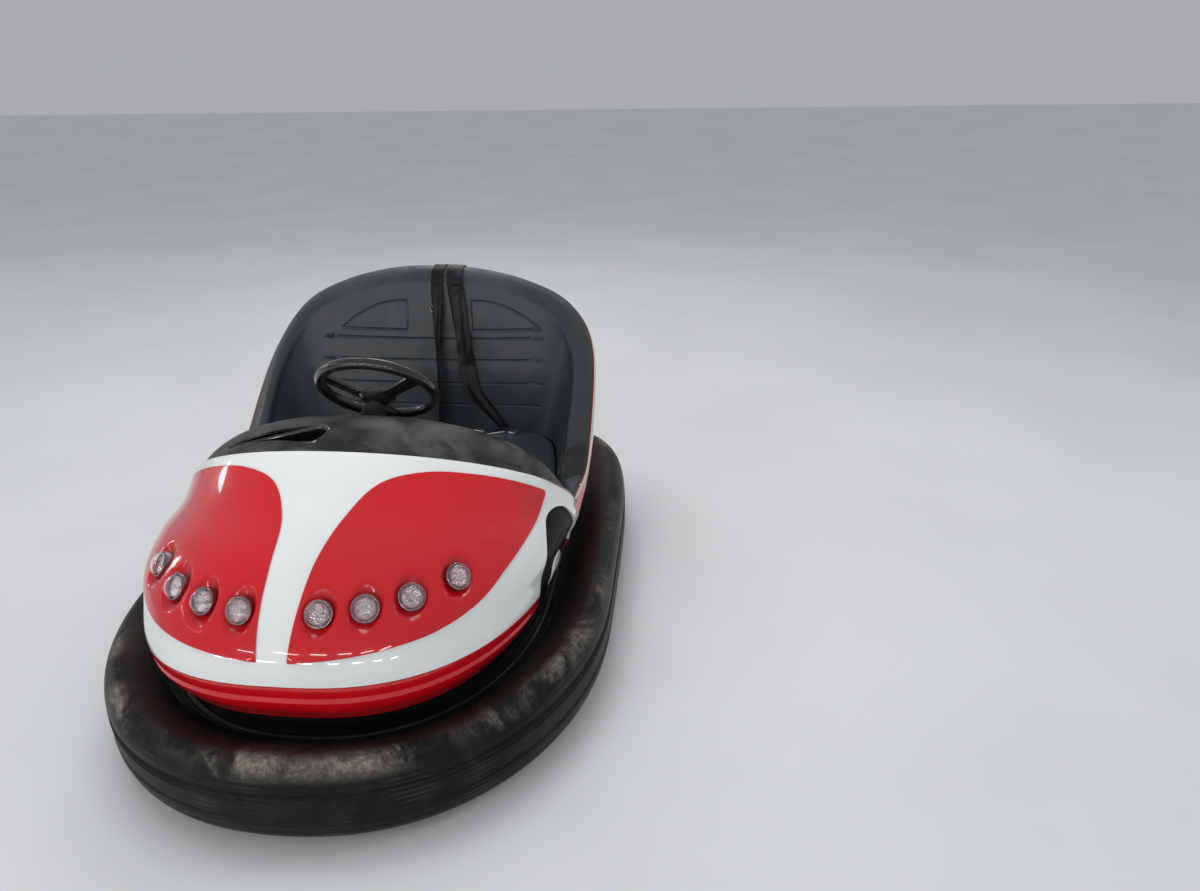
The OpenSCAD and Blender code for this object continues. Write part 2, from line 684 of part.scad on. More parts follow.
module belt(c, w) {
    skin([for (r = belt_line)
        [belt_at(r[c] + w / 2, r[0], belt_gap), belt_at(r[c] + w / 2, r[0], belt_gap + belt_t),
            belt_at(r[c] - w / 2, r[0], belt_gap + belt_t), belt_at(r[c] - w / 2, r[0], belt_gap)]]);
}
module belt_left() {
    color([0.05, 0.05, 0.05]) belt(1, belt_w);
}
module belt_right() {
    color([0.05, 0.05, 0.05]) belt(2, wide_belt_w);
}
module belt_anchor() {
    low = 2 * belt_gap + belt_t;
    color([0.1, 0.1, 0.1])
        skin([for (j = [0 : 6]) let (a = atan2(roll_y, mix(-6, 148, j / 6)))
            [tail_off(a, anchor_t[0], low), tail_off(a, anchor_t[0], low + 4),
                tail_off(a, anchor_t[1], low + 4), tail_off(a, anchor_t[1], low)]]);
}
// Buckles on the bench. Columns: x, y, length, turn.
buckle_places = [[84, 396, 52, 8], [150, 400, 34, -20], [196, 388, 54, 24], [250, 394, 30, 64]];
module buckles() {
    color([0.7, 0.7, 0.7])
        for (b = buckle_places)
            translate([b.x, b.y, bench_z + seat_gap])
                rotate([0, 0, b[3]])
                    translate([-b[2] / 2, -13, 0]) cube([b[2], 26, 11]);
}
mat_t = 4;
module floor_mat() {
    color([0.08, 0.08, 0.08])
        translate([-300, -130, deck_z]) cube([600, 200, mat_t]);
}
module pedal() {
    color([0.3, 0.3, 0.3])
        translate([90, -128, deck_z + mat_t])
            rotate([90, 0, 90]) linear_extrude(60) polygon([[0, 0], [98, 0], [98, 5], [10, 30], [0, 30]]);
}
battery_size = [520, 170, 180];
module battery() {
    color([0.12, 0.12, 0.2])
        translate([-battery_size.x / 2, box_front + 50, deck_z]) cube(battery_size);
}
bracket_t = 6;
bracket_gap = back_w / 2 + 7;
bracket_foot = 34;
module axle_brackets() {
    color([0.25, 0.25, 0.26])
        for (s = [-1, 1], k = [-1, 1])
            translate([s * track / 2, axle_y, 0])
                mirror([k < 0 ? 1 : 0, 0, 0])
                    difference() {
                        union() {
                            translate([bracket_gap, -24, back_r - 22])
                                cube([bracket_t, 48, deck_z + 6 - back_r + 22]);
                            translate([bracket_gap, -24, deck_z]) cube([bracket_foot, 48, 6]);
                        }
                        translate([bracket_gap - 1, 0, back_r])
                            rotate([0, 90, 0]) cylinder(r = axle_r, h = bracket_foot + 2);
                    }
}
bracket_x = track / 2 + bracket_gap + bracket_t;
module rear_axle() {
    color([0.5, 0.5, 0.5])
        translate([-bracket_x - 6, axle_y, back_r])
            rotate([0, 90, 0]) cylinder(r = axle_r, h = 2 * bracket_x + 12);
}
module back_wheel(x) {
    color([0.1, 0.1, 0.1])
        translate([x - back_w / 2, axle_y, back_r])
            rotate([0, 90, 0])
                difference() {
                    cylinder(r = back_r, h = back_w);
                    translate([0, 0, -1]) cylinder(r = axle_r + bore_gap, h = back_w + 2);
                }
}
module rear_wheel_left() { back_wheel(-track / 2); }
module rear_wheel_right() { back_wheel(track / 2); }

fork_w = 6;
pin_r = 8;
fork_x = drive_w / 2 + run_gap + 6;
crown_z = drive_r * 2 + 14;
stem_r = 14;
module drive_fork() {
    color([0.35, 0.35, 0.37])
        translate([0, drive_y, 0]) {
            for (x = [-fork_x - fork_w, fork_x])
                translate([x, -22, drive_r])
                    difference() {
                        union() {
                            cube([fork_w, 44, crown_z - drive_r]);
                            translate([0, 22, 0]) rotate([0, 90, 0]) cylinder(r = 22, h = fork_w);
                        }
                        translate([-1, 22, 0])
                            rotate([0, 90, 0]) cylinder(r = pin_r + bore_gap, h = fork_w + 2);
                    }
            translate([0, 0, crown_z]) cylinder(r = fork_x + fork_w + 6, h = 8);
            translate([0, 0, crown_z + 8]) cylinder(r = stem_r, h = stem_top - crown_z - 8);
        }
}
module drive_motor() {
    color([0.2, 0.22, 0.25])
        translate([fork_x + fork_w, drive_y, drive_r])
            rotate([0, 90, 0])
                difference() {
                    cylinder(r = 50, h = 60);
                    translate([0, 0, -1]) cylinder(r = pin_r + run_gap, h = 16);
                }
}
module drive_wheel() {
    color([0.08, 0.08, 0.08])
        translate([-drive_w / 2, drive_y, drive_r])
            rotate([0, 90, 0])
                difference() {
                    cylinder(r = drive_r, h = drive_w);
                    translate([0, 0, -1]) cylinder(r = 60, h = drive_w + 2);
                }
}
module drive_hub() {
    color([0.5, 0.5, 0.52])
        translate([-drive_w / 2, drive_y, drive_r])
            rotate([0, 90, 0]) {
                cylinder(r = 60, h = drive_w);
                translate([0, 0, -fork_w - 14]) cylinder(r = pin_r, h = drive_w + 2 * fork_w + 26);
            }
}
head_z = crown_z + 14;
head_r = 46;
stem_top = head_z + 34;
module steering_head() {
    color([0.3, 0.3, 0.32])
        difference() {
            union() {
                translate([0, drive_y, head_z]) cylinder(r = head_r, h = 68);
                on_column() translate([0, 0, column_low]) cylinder(r = 30, h = 58);
                translate([-well_r - 30, drive_y - 24, head_z]) cube([2 * well_r + 60, 48, 8]);
                for (s = [-1, 1])
                    translate([s * (well_r + 20) - 10, drive_y - 24, deck_z])
                        cube([20, 48, head_z - deck_z]);
            }
            translate([0, drive_y, head_z - 1]) cylinder(r = stem_r + bore_gap, h = stem_top - head_z + 2);
            on_column() translate([0, 0, column_low - 1]) cylinder(r = column_r + bore_gap, h = 80);
        }
}

tyre();
chassis_rim();
floor_plate();
cross_members();
skirt();
lip_band();
front_shell();
eye_panels();
mock_wheels();
mock_hubs();
rear_shell();
dash();
dash_tray();
column_boot();
lamp_bezels();
lamp_reflectors();
lamp_lenses();
seat_shell();
seat_bench();
seat_box();
belt_left();
belt_right();
belt_anchor();
buckles();
floor_mat();
pedal();
battery();
axle_brackets();
rear_axle();
steering_head();
column_post();
steering_wheel();
steering_column();
drive_fork();
drive_motor();
drive_wheel();
drive_hub();
rear_wheel_left();
rear_wheel_right();
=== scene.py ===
import json
import math

import bpy
import numpy as np
from mathutils import Matrix, Vector
from mathutils.bvhtree import BVHTree


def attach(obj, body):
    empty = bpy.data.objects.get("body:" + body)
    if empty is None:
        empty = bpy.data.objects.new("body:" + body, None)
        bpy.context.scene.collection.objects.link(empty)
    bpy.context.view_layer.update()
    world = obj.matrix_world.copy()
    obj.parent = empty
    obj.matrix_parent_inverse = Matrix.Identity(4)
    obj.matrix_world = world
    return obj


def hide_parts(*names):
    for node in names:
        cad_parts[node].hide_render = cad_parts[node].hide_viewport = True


bl_info = {
    "name": "Bumper car",
    "version": (1, 0, 0),
    "blender": (4, 5, 0),
    "location": "View3D > Sidebar > Bumper car",
    "description": "A two-seat fairground bumper car on its rubber tyre",
    "category": "Add Mesh",
}

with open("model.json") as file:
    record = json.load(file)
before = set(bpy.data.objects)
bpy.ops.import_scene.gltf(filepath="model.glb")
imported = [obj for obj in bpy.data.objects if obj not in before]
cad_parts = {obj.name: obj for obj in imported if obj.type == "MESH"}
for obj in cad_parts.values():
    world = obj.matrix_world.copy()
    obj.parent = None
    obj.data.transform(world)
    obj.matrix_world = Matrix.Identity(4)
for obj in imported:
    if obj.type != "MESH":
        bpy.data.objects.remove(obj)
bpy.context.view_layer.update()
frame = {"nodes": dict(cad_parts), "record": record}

# Body shapes in millimetres, as in the part's source.
TYRE_L, TYRE_W, TYRE_H, TYRE_T, TYRE_GAP = 1660, 1178, 186, 150, 20
NOSE_L = TYRE_L * 0.41
TAIL_L = TYRE_L - NOSE_L
WIDE_Y = NOSE_L - TYRE_L / 2
BODY_HALF, SILL_Y, SILL_Z, LIP_Z = 484, 13, 333, 212
NOSE_Y = 107 - TYRE_L / 2
PANEL_GAP, LAMP_GAP = 0.7, 0.4
HOLLOW_UP, HOLLOW_ACROSS = 54, 35
SHELL = 6
SEAT_TOP, BENCH_Z, ROLL_T, ROLL_IN = 811, 350, 94, 8
FLANGE_H = 5
COLUMN_TILT, WHEEL_Z = 47, 637
FLOOR_DECK = 71

# The tyre's section from its outermost ring upward: share of its thickness inward, share of its height.
TYRE_SECTION = [
    (0.15, 0.02), (0.05, 0.12), (0, 0.30), (0, 0.62), (0.03, 0.80), (0.10, 0.91), (0.20, 0.98), (0.32, 1.00),
    (0.50, 0.95), (0.72, 0.84), (0.92, 0.72), (1.00, 0.66), (1.00, 0.20), (0.90, 0.06), (0.60, 0), (0.32, 0)]
# The hood's levels: distance behind the nose, height of the nose over the lip, more half width, share of the
# sill's height, exponent of the oval, power of the fall towards the sides.
HOOD = [
    (34, 0, -40, 0, 2.65, 1.04), (14, 44, -26, 0.13, 2.65, 1.04), (0, 101, -14, 0.30, 2.65, 1.04),
    (13, 158, -8, 0.48, 2.55, 1.00), (66, 221, 6, 0.645, 2.48, 0.96), (154, 277, 6, 0.777, 2.30, 0.96),
    (280, 322, 1, 0.893, 2.12, 0.97), (418, 399, 0, 1, 2.10, 0.92)]
# A panel's edges: direction and level of the upper edge, then of the lower edge.
EYE = [
    (3.6, 0.173, 3.6, 0.173), (4.4, 0.429, 15.0, 0.199), (5.4, 0.624, 25.6, 0.228), (7.7, 0.778, 35.1, 0.267),
    (13.5, 0.896, 42.8, 0.346), (24.1, 0.945, 48.7, 0.472), (36.5, 0.955, 54.5, 0.599),
    (49.6, 0.950, 59.7, 0.748), (63.0, 0.930, 63.0, 0.930)]
# Direction and level of the lamps on one side.
LAMPS = [(9.2, 0.404), (18.8, 0.422), (27.9, 0.452), (37.3, 0.507)]
# The tail's levels: more half width, distance from the tyre's back, exponent of the oval.
TAIL = [
    (-40, 122, 3.6), (-24, 112, 3.8), (-8, 108, 4.1), (2, 112, 4.5), (10, 126, 5.0), (15, 146, 5.6),
    (17, 180, 6.4), (17, 215, 7.1)]
# Share of the seat's height that the tail's rim has reached, every 10 degrees from the sill to the middle.
RIM_SHARE = [(0,), (0.02,), (0.123,), (0.338,), (0.575,), (0.793,), (0.907,), (0.966,), (0.995,), (1,)]
# The dash's rows: place of its middle, height over the sill, more half width, exponent, power.
DASH = [
    (-296, 276, -10, 2.10, 0.92), (-235, 294, -14, 2.10, 0.92), (-165, 296, -22, 2.12, 0.92),
    (-110, 284, -30, 2.14, 0.92), (-72, 255, -38, 2.16, 0.92), (-60, 205, -42, 2.18, 0.90)]
MOCK_R, MOCK_Y, MOCK_Z, CUP_X = 148, -190, 262, 434
HUB_R, HUB_IN, CUP_FLOOR = 42, 42.8, 4.3
SKIRT_IN, SKIRT_WALL, DASH_WALL, SEAT_WALL = 155.6, 4, 5.0, 5.0
LIP_SWELL = 5.5
KEEP_IN = 0.25  # keeps the tyre's curve inside its solid
# Height and half length of the level grooves, then the outline of a quarter panel beside the middle.
GROOVES = [(615, 334), (552, 337), (484, 335), (421, 330)]
GROOVE_IN, GROOVE_SLOPE, PANEL_SHIFT = 0, 2.6, 24
PANEL_LINE = [
    (302, 640), (200, 640), (97, 640), (97, 682), (97, 724), (128, 723), (160, 718), (192, 708), (219, 696),
    (264, 671), (302, 640)]
# Along the belts: places of the narrow and the wide one beside the middle, then the shares of their twist.
BELT_LINE = [(22, 66, 0, 0), (22, 66, 0, 0), (22, 66, 0, 0), (22, 66, 0, 0), (22, 66, 0, 0), (22, 67, 0, 0),
             (22, 68, 0, 0), (22, 70, 0, 0), (22, 73, 0, 0.1), (23, 76, 0, 0.2), (23, 81, 0.1, 0.1),
             (24, 102, 0.75, 0.25), (26, 124, 0.8, -0.15), (28, 222, 0.6, 0.3)]
BELT_TURN, BELT_GAP = 70, 1.5
SLIDER_W, SLIDER_H, SLIDER_X, SLIDER_K, SLIDER_D = 44, 24, 22, 7.42, 9
# Running wheels: piece, node, body, radius, bore, width, centre, grooves in the tread.
WHEELS = (
    ("drive_tread", "drive_wheel", "drive_roller", 100, 60, 62, (0, -380, 100), 6),
    ("back_wheel_left", "rear_wheel_left", "rear_roller_left", 75, 10.08, 44, (-310, 470, 75), 3),
    ("back_wheel_right", "rear_wheel_right", "rear_roller_right", 75, 10.08, 44, (310, 470, 75), 3))


def smooth(u):
    """A smooth step from 0 to 1."""
    v = np.clip(u, 0, 1)
    return v * v * (3 - 2 * v)


def mix(a, b, u):
    return a + (b - a) * u


def unit(v):
    return v / np.linalg.norm(v, axis=-1, keepdims=True)


def stack(*parts):
    """Coordinates brought to one shape and put side by side."""
    return np.stack(np.broadcast_arrays(*parts), -1)


def row(table, u):
    """Row u of a table, or of one table for each value of u, on a smooth curve through its rows."""
    u = np.asarray(u, float)
    table = np.asarray(table, float)
    if table.ndim == 2:
        table = np.broadcast_to(table, u.shape + table.shape)
    last = table.shape[-2] - 1
    i = np.clip(np.floor(u), 0, last - 1).astype(int)
    f = (u - i)[..., None]

    def pick(j):
        return np.take_along_axis(table, np.clip(j, 0, last)[..., None, None], -2)[..., 0, :]

    b, c = pick(i), pick(i + 1)
    a = np.where((i > 0)[..., None], pick(i - 1), 2 * b - c)
    d = np.where((i + 2 <= last)[..., None], pick(i + 2), 2 * c - b)
    return b + 0.5 * f * ((c - a) + f * ((2 * a - 5 * b + 4 * c - d) + f * (3 * (b - c) + d - a)))


def together(a, t):
    return np.broadcast_arrays(np.asarray(a, float), np.asarray(t, float))


def oval(a, half, length, n):
    """A point of an oval with squared corners, in direction a."""
    c, s = np.cos(np.radians(a)), np.sin(np.radians(a))
    r = (np.abs(c) ** n + np.abs(s) ** n) ** (-1 / n)
    return half * c * r, length * s * r


def tyre_plan(a):
    """The tyre's outline in direction a, with a round nose and a square tail."""
    a = np.asarray(a, float)
    front = (a < 0) | (a > 180)
    x, y = oval(a, TYRE_W / 2, np.where(front, NOSE_L, TAIL_L), np.where(front, 2.18, 5.0))
    return stack(x, WIDE_Y + y)


def plan(a, d):
    """The tyre's outline moved inward by d."""
    t = unit(tyre_plan(a + 0.5) - tyre_plan(a - 0.5))
    p = tyre_plan(a)
    return p[..., 0] - t[..., 1] * d, p[..., 1] + t[..., 0] * d


def dome(phi, n, power):
    """An oval's point in direction phi from the nose, and its share of the height."""
    x, y = oval(phi - 90, 1, 1, n)
    return x, y, np.sign(-y) * np.abs(y) ** power


def level(r, phi):
    """A point of one of the hood's levels."""
    x, y, h = dome(phi, r[..., 4], r[..., 5])
    side = LIP_Z + r[..., 3] * (SILL_Z - LIP_Z)
    return stack((BODY_HALF + r[..., 2]) * x, SILL_Y + (SILL_Y - NOSE_Y - r[..., 0]) * y,
                 side + (LIP_Z + r[..., 1] - side) * h)


def hood_at(phi, t):
    phi, t = together(phi, t)
    return level(row(HOOD, (t + 0.4) * 5), phi)


def normal_at(surface, a, t):
    return unit(np.cross(surface(a + 1, t) - surface(a - 1, t), surface(a, t + 0.01) - surface(a, t - 0.01)))


def off(surface, at_sill, a, t, d):
    """A point lifted d off a surface, kept in the plane of the joint at the sill."""
    p = surface(a, t) + np.asarray(d)[..., None] * normal_at(surface, a, t)
    p[..., 1] = np.where(at_sill, SILL_Y, p[..., 1])
    return p


def hood_off(phi, t, d):
    return off(hood_at, np.abs(phi) > 89.9, phi, t, d)


def dash_at(phi, t):
    phi, t = together(phi, t)
    r = row(DASH, t * 5)
    x, y, h = dome(phi, r[..., 3], r[..., 4])
    return stack((BODY_HALF + r[..., 2]) * x, SILL_Y + (SILL_Y - r[..., 0]) * y, SILL_Z - 2 + r[..., 1] * h)


def dash_off(phi, t, d):
    return off(dash_at, np.abs(phi) > 89.9, phi, t, d)


def fold(a):
    """Degrees from the nearer sill, for a direction round the tail."""
    return np.where(np.asarray(a) > 90, 180 - np.asarray(a, float), a)


def rim_z(a):
    return SILL_Z + (SEAT_TOP - 28 - SILL_Z) * row(RIM_SHARE, fold(a) / 10)[..., 0]


def tail_at(a, t):
    a, t = together(a, t)
    r, h = row(TAIL, t * 7), row(HOOD, t * 7)
    half = BODY_HALF + mix(h[..., 2], r[..., 0], smooth(fold(a) / 16))
    x, y = oval(a, half, TYRE_L / 2 - r[..., 1] - SILL_Y, r[..., 2])
    return stack(x, SILL_Y + y, LIP_Z + (rim_z(a) - LIP_Z) * h[..., 3])


def tail_off(a, t, d):
    return off(tail_at, fold(a) < 0.1, a, t, d)


def rim_at(a, d, h):
    """The rear shell's rim, moved inward by d and up by h."""
    p = tail_at(a, 1.0)
    f = unit(normal_at(tail_at, a, 1.0)[..., :2])
    y = np.where(fold(a) < 0.1, SILL_Y, p[..., 1] - f[..., 1] * d)
    return stack(p[..., 0] - f[..., 0] * d, y, p[..., 2] + h)


def foot_at(a, d=0):
    """The outline of the seat's foot, moved inward by d."""
    x, v = oval(a, 1, 1, 9)
    return stack(x * (374 - d + 63 * (1 - v)), SILL_Y + v * (425 - d - SILL_Y))


def seat_path(a):
    """The seat's section in direction a: distance inward from the roll's outer side, and height."""
    rim, f = rim_at(a, ROLL_IN, 0.0), foot_at(a)
    way = np.linalg.norm(f - rim[..., :2], axis=-1)
    t = np.minimum(ROLL_T, way - 2)  # the roll's thickness
    rise = 12 + 16 * smooth(fold(a) / 80)
    z = rim[..., 2]
    top = z + rise
    low = top - 0.64 * t
    foot = np.minimum(BENCH_Z - 10, low - 8)
    rows = [(0 * t, z + FLANGE_H + 0.3), (0 * t, z + np.maximum(0.4 * rise, FLANGE_H + 1.5)),
            (0.07 * t, z + 0.8 * rise), (0.24 * t, top), (0.5 * t, top), (0.75 * t, top - 0.1 * t),
            (0.92 * t, top - 0.32 * t), (t, low), (mix(t, way, 0.33), mix(low, foot, 0.33)),
            (mix(t, way, 0.67), mix(low, foot, 0.67)), (way, foot)]
    return np.stack([np.stack(r, -1) for r in rows], -2)


def seat_at(a, k, d=0.0):
    """Point k of the seat's section, moved d off its visible side."""
    a, k = together(a, k)
    path = seat_path(a)
    t = row(path, k + 0.03) - row(path, k - 0.03)
    q = row(path, k) - np.asarray(d)[..., None] * unit(stack(t[..., 1], -t[..., 0]))
    rim, f = rim_at(a, ROLL_IN, 0.0), foot_at(a)
    u = unit(f - rim[..., :2])
    least = np.where(k < 3, rim[..., 2] + FLANGE_H + 0.3 + 0.4 * k, 0)
    return stack(rim[..., 0] + u[..., 0] * q[..., 0],
                 np.maximum(rim[..., 1] + u[..., 1] * q[..., 0], SILL_Y + 1), np.maximum(q[..., 1], least))


def seat_dir(x, k):
    """Direction of the point k of the seat that lies x beside the middle."""
    a = np.linspace(45, 135, 721)
    xs = seat_at(a, np.full_like(a, k))[:, 0]
    return np.interp(-np.asarray(x, float), -xs, a)


def even(curve, low, high, count, weight=None, loop=False):
    """Directions between which a curve's points lie evenly far apart, or closer where the weight is more."""
    a = np.linspace(low, high, 2401)
    p = curve(a)
    w = 1.0 if weight is None else weight(p[1:])
    s = np.concatenate([[0], np.cumsum(np.linalg.norm(np.diff(p, axis=0), axis=1) * w)])
    return np.interp(np.linspace(0, s[-1], count + loop)[:count], s, a)


def hollow(p):
    """Depth of the soft hollows that the lamps stand in, at points of one half of the hood."""
    depth = np.zeros(p.shape[:-1])
    for phi, t in LAMPS:
        c, n, up, across = lamp_frame(phi, t)
        v = p - c
        r2 = (v @ up / HOLLOW_UP) ** 2 + (v @ across / HOLLOW_ACROSS) ** 2
        depth = np.maximum(depth, mm("hollow_depth") * np.clip(1 - r2, 0, 1) ** 1.15)
    return depth


def lamp_frame(phi, t):
    """A lamp's place on the hood, and the hood's outward, upward and sideways directions there."""
    c, n = hood_at(phi, t), normal_at(hood_at, phi, t)
    up = unit(hood_at(phi, t + 0.02) - hood_at(phi, t - 0.02))
    return c, n, up, np.cross(n, up)


# Mesh tools.
def sizes():
    return bpy.context.scene.bumper_sizes


def looks():
    return bpy.context.scene.bumper_looks


def mm(name):
    """One of the user's sizes in millimetres."""
    return getattr(sizes(), name) * 1000


def start():
    """Object mode with nothing selected, as each operator needs it."""
    if bpy.context.object and bpy.context.object.mode != "OBJECT":
        bpy.ops.object.mode_set(mode="OBJECT")
    bpy.ops.object.select_all(action="DESELECT")


def edit(piece, *steps):
    """Runs edit mode operators on the whole mesh."""
    start()
    piece.select_set(True)
    bpy.context.view_layer.objects.active = piece
    bpy.ops.object.mode_set(mode="EDIT")
    bpy.ops.mesh.select_all(action="SELECT")
    for step, settings in steps:
        getattr(bpy.ops.mesh, step)(**settings)
    bpy.ops.object.mode_set(mode="OBJECT")
    return piece


def named(name):
    """Names the active object and its mesh."""
    piece = bpy.context.object
    piece.name = piece.data.name = name
    return piece


def ribbon(name, rows):
    """A solid strip: a closed section whose points run along the given rows."""
    return loft(name, np.stack(rows, 1), loop_v=True, ends=True)


def loft(name, points, loop_u=False, loop_v=False, ends=False):
    """A grid whose corners go to points[u, v], in millimetres, closed along u or v and capped at its ends."""
    nu, nv = points.shape[:2]
    cells = nu - 1 + loop_u, nv - 1 + loop_v
    start()
    bpy.ops.mesh.primitive_grid_add(x_subdivisions=cells[0], y_subdivisions=cells[1], size=2)
    piece = named(name)
    co = np.empty(len(piece.data.vertices) * 3)
    piece.data.vertices.foreach_get("co", co)
    co = co.reshape(-1, 3)
    iu = np.rint((co[:, 0] + 1) / 2 * cells[0]).astype(int) % nu
    iv = np.rint((co[:, 1] + 1) / 2 * cells[1]).astype(int) % nv
    piece.data.vertices.foreach_set("co", (points[iu, iv] * 0.001).ravel())
    steps = [("remove_doubles", {"threshold": 2e-6})]
    if ends:
        steps.append(("fill_holes", {"sides": 0}))
    steps.append(("normals_make_consistent", {"inside": False}))
    return edit(piece, *steps)


def lathe(name, profile, turns=64):
    """A turned piece: a closed outline of (radius, height) round the Z axis."""
    a = np.radians(np.arange(turns) * 360 / turns)[:, None]
    r, z = np.array(profile, float).T
    return loft(name, stack(r * np.cos(a), r * np.sin(a), z + 0 * a), loop_u=True, loop_v=True)


def rounded(outline, radius, steps=4):
    """A closed outline with its corners rounded by up to the radius."""
    outline = np.array(outline, float)
    made = []
    for i, p in enumerate(outline):
        a, b = outline[i - 1], outline[(i + 1) % len(outline)]
        r = min(radius, 0.45 * np.linalg.norm(a - p), 0.45 * np.linalg.norm(b - p))
        q, s = p + (a - p) / np.linalg.norm(a - p) * r, p + (b - p) / np.linalg.norm(b - p) * r
        made += [(1 - u) ** 2 * q + 2 * u * (1 - u) * p + u * u * s for u in np.linspace(0, 1, steps + 1)]
    return made


def cylinder(name, radius, depth, at, turn=None, sides=48):
    """A round cutter, in millimetres."""
    start()
    bpy.ops.mesh.primitive_cylinder_add(vertices=sides, radius=radius * 0.001, depth=depth * 0.001)
    return settle(named(name), at, turn)


def settle(piece, at, turn=None):
    """Moves a mesh to its place, in millimetres, after a turn given as a matrix."""
    move = Matrix.Translation(Vector(at) * 0.001)
    piece.data.transform(move @ turn.to_4x4() if turn else move)
    piece.data.update()
    return piece


def modify(piece, kind, **settings):
    """Adds a modifier and applies it."""
    start()
    piece.select_set(True)
    bpy.context.view_layer.objects.active = piece
    bpy.ops.object.modifier_add(type=kind)
    modifier = piece.modifiers[-1]
    for key, value in settings.items():
        setattr(modifier, key, value)
    bpy.ops.object.modifier_apply(modifier=modifier.name)
    return piece


def bevel(piece, width, segments=2, angle=40):
    return modify(piece, "BEVEL", width=width * 0.001, segments=segments, limit_method="ANGLE",
                  angle_limit=math.radians(angle))


def cut(piece, cutter):
    """Takes a cutter's space out of a piece."""
    modify(piece, "BOOLEAN", operation="DIFFERENCE", solver="EXACT", object=cutter)
    bpy.data.objects.remove(cutter)
    return piece


def shade(piece, angle=35):
    start()
    piece.select_set(True)
    bpy.context.view_layer.objects.active = piece
    bpy.ops.object.shade_smooth_by_angle(angle=math.radians(angle))
    return piece


def finish(piece, material, slot, body="chassis", nodes=(), angle=35):
    """Shades a piece, gives it its material, and puts it on its body in place of CAD nodes."""
    shade(piece, angle)
    piece.data.materials.clear()
    piece.data.materials.append(finishes()[material])
    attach(piece, body)
    if nodes:
        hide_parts(*nodes)
    return piece


def dressed(node, name, material, body="chassis", soft=0.0):
    """A smooth copy of a CAD node with softened edges."""
    source = frame["nodes"][node]
    start()
    copy = source.copy()
    copy.data = source.data.copy()
    copy.parent = None
    for key in list(copy.keys()):
        del copy[key]
    bpy.context.scene.collection.objects.link(copy)
    copy.name = copy.data.name = name
    edit(copy, ("remove_doubles", {"threshold": 1e-5}), ("normals_make_consistent", {"inside": False}),
         ("dissolve_limited", {"angle_limit": math.radians(1)}))
    if soft:
        bevel(copy, soft)
    slot = next(s["material_slot"] for s in frame["record"]["subparts"] if s["node"] == node)
    finish(copy, material, slot, body, (node,))


# Materials.
class Value:
    """A shader socket that can be used in sums."""

    def __init__(self, finish, socket):
        self.finish, self.socket = finish, socket

    def _do(self, operation, *values):
        return self.finish.node("ShaderNodeMath", {"operation": operation}, dict(enumerate(values)))

    def __add__(self, other):
        return self._do("ADD", self, other)

    __radd__ = __add__

    def __sub__(self, other):
        return self._do("SUBTRACT", self, other)

    def __rsub__(self, other):
        return self._do("SUBTRACT", other, self)

    def __mul__(self, other):
        return self._do("MULTIPLY", self, other)

    __rmul__ = __mul__

    def __pow__(self, other):
        return self._do("POWER", self, other)

    def sine(self):
        return self._do("SINE", self)

    def size(self):
        return self._do("ABSOLUTE", self)

    def least(self, other):
        return self._do("MINIMUM", self, other)

    def step(self, low, high):
        """A smooth step from 0 at low to 1 at high."""
        return self.finish.node("ShaderNodeMapRange", {"interpolation_type": "SMOOTHSTEP"},
                                {0: self, 1: low, 2: high, 3: 0.0, 4: 1.0})


class Finish:
    """A material, with its shader's sockets and the nodes that feed them."""

    def __init__(self, name, **sockets):
        self.material = bpy.data.materials.new(name)
        self.material.use_nodes = True
        self.tree = self.material.node_tree
        self.shader = self.tree.nodes["Principled BSDF"]
        self.set(**sockets)

    def node(self, kind, settings=None, inputs=None, output=0):
        made = self.tree.nodes.new(kind)
        for key, value in (settings or {}).items():
            setattr(made, key, value)
        for key, value in (inputs or {}).items():
            self.feed(made.inputs[key], value)
        return Value(self, made.outputs[output])

    def feed(self, socket, value):
        if isinstance(value, Value):
            self.tree.links.new(value.socket, socket)
        elif socket.type == "RGBA" and len(value) == 3:
            socket.default_value = (*value, 1)
        else:
            socket.default_value = value

    def set(self, **sockets):
        for key, value in sockets.items():
            self.feed(self.shader.inputs[key.replace("_", " ").title().replace("Ior", "IOR")], value)

    def place(self, scale=(1, 1, 1)):
        coords = self.node("ShaderNodeTexCoord", output="Object")
        return self.node("ShaderNodeMapping", None, {0: coords, 3: scale})

    def axes(self, source=None):
        source = source or self.node("ShaderNodeTexCoord", output="Object")
        split = self.node("ShaderNodeSeparateXYZ", None, {0: source})
        nodes = split.socket.node.outputs
        return [Value(self, nodes[i]) for i in range(3)]

    def uv(self):
        return self.node("ShaderNodeTexCoord", output="UV")

    def noise(self, scale, detail=4.0, rough=0.55, place=None, warp=0.0):
        return self.node("ShaderNodeTexNoise", {"noise_dimensions": "3D"},
                         {"Vector": place or self.place(), "Scale": scale, "Detail": detail, "Roughness": rough,
                          "Distortion": warp})

    def cells(self, scale):
        return self.node("ShaderNodeTexVoronoi", {"feature": "F1"}, {"Vector": self.place(), "Scale": scale},
                         output="Distance")

    def blend(self, factor, a, b):
        """Colour b over colour a."""
        return self.node("ShaderNodeMix", {"data_type": "RGBA", "clamp_factor": True}, {0: factor, 6: a, 7: b},
                         output=2)

    def bump(self, height, strength, distance):
        return self.node("ShaderNodeBump", None, {"Strength": strength, "Distance": distance, "Height": height})


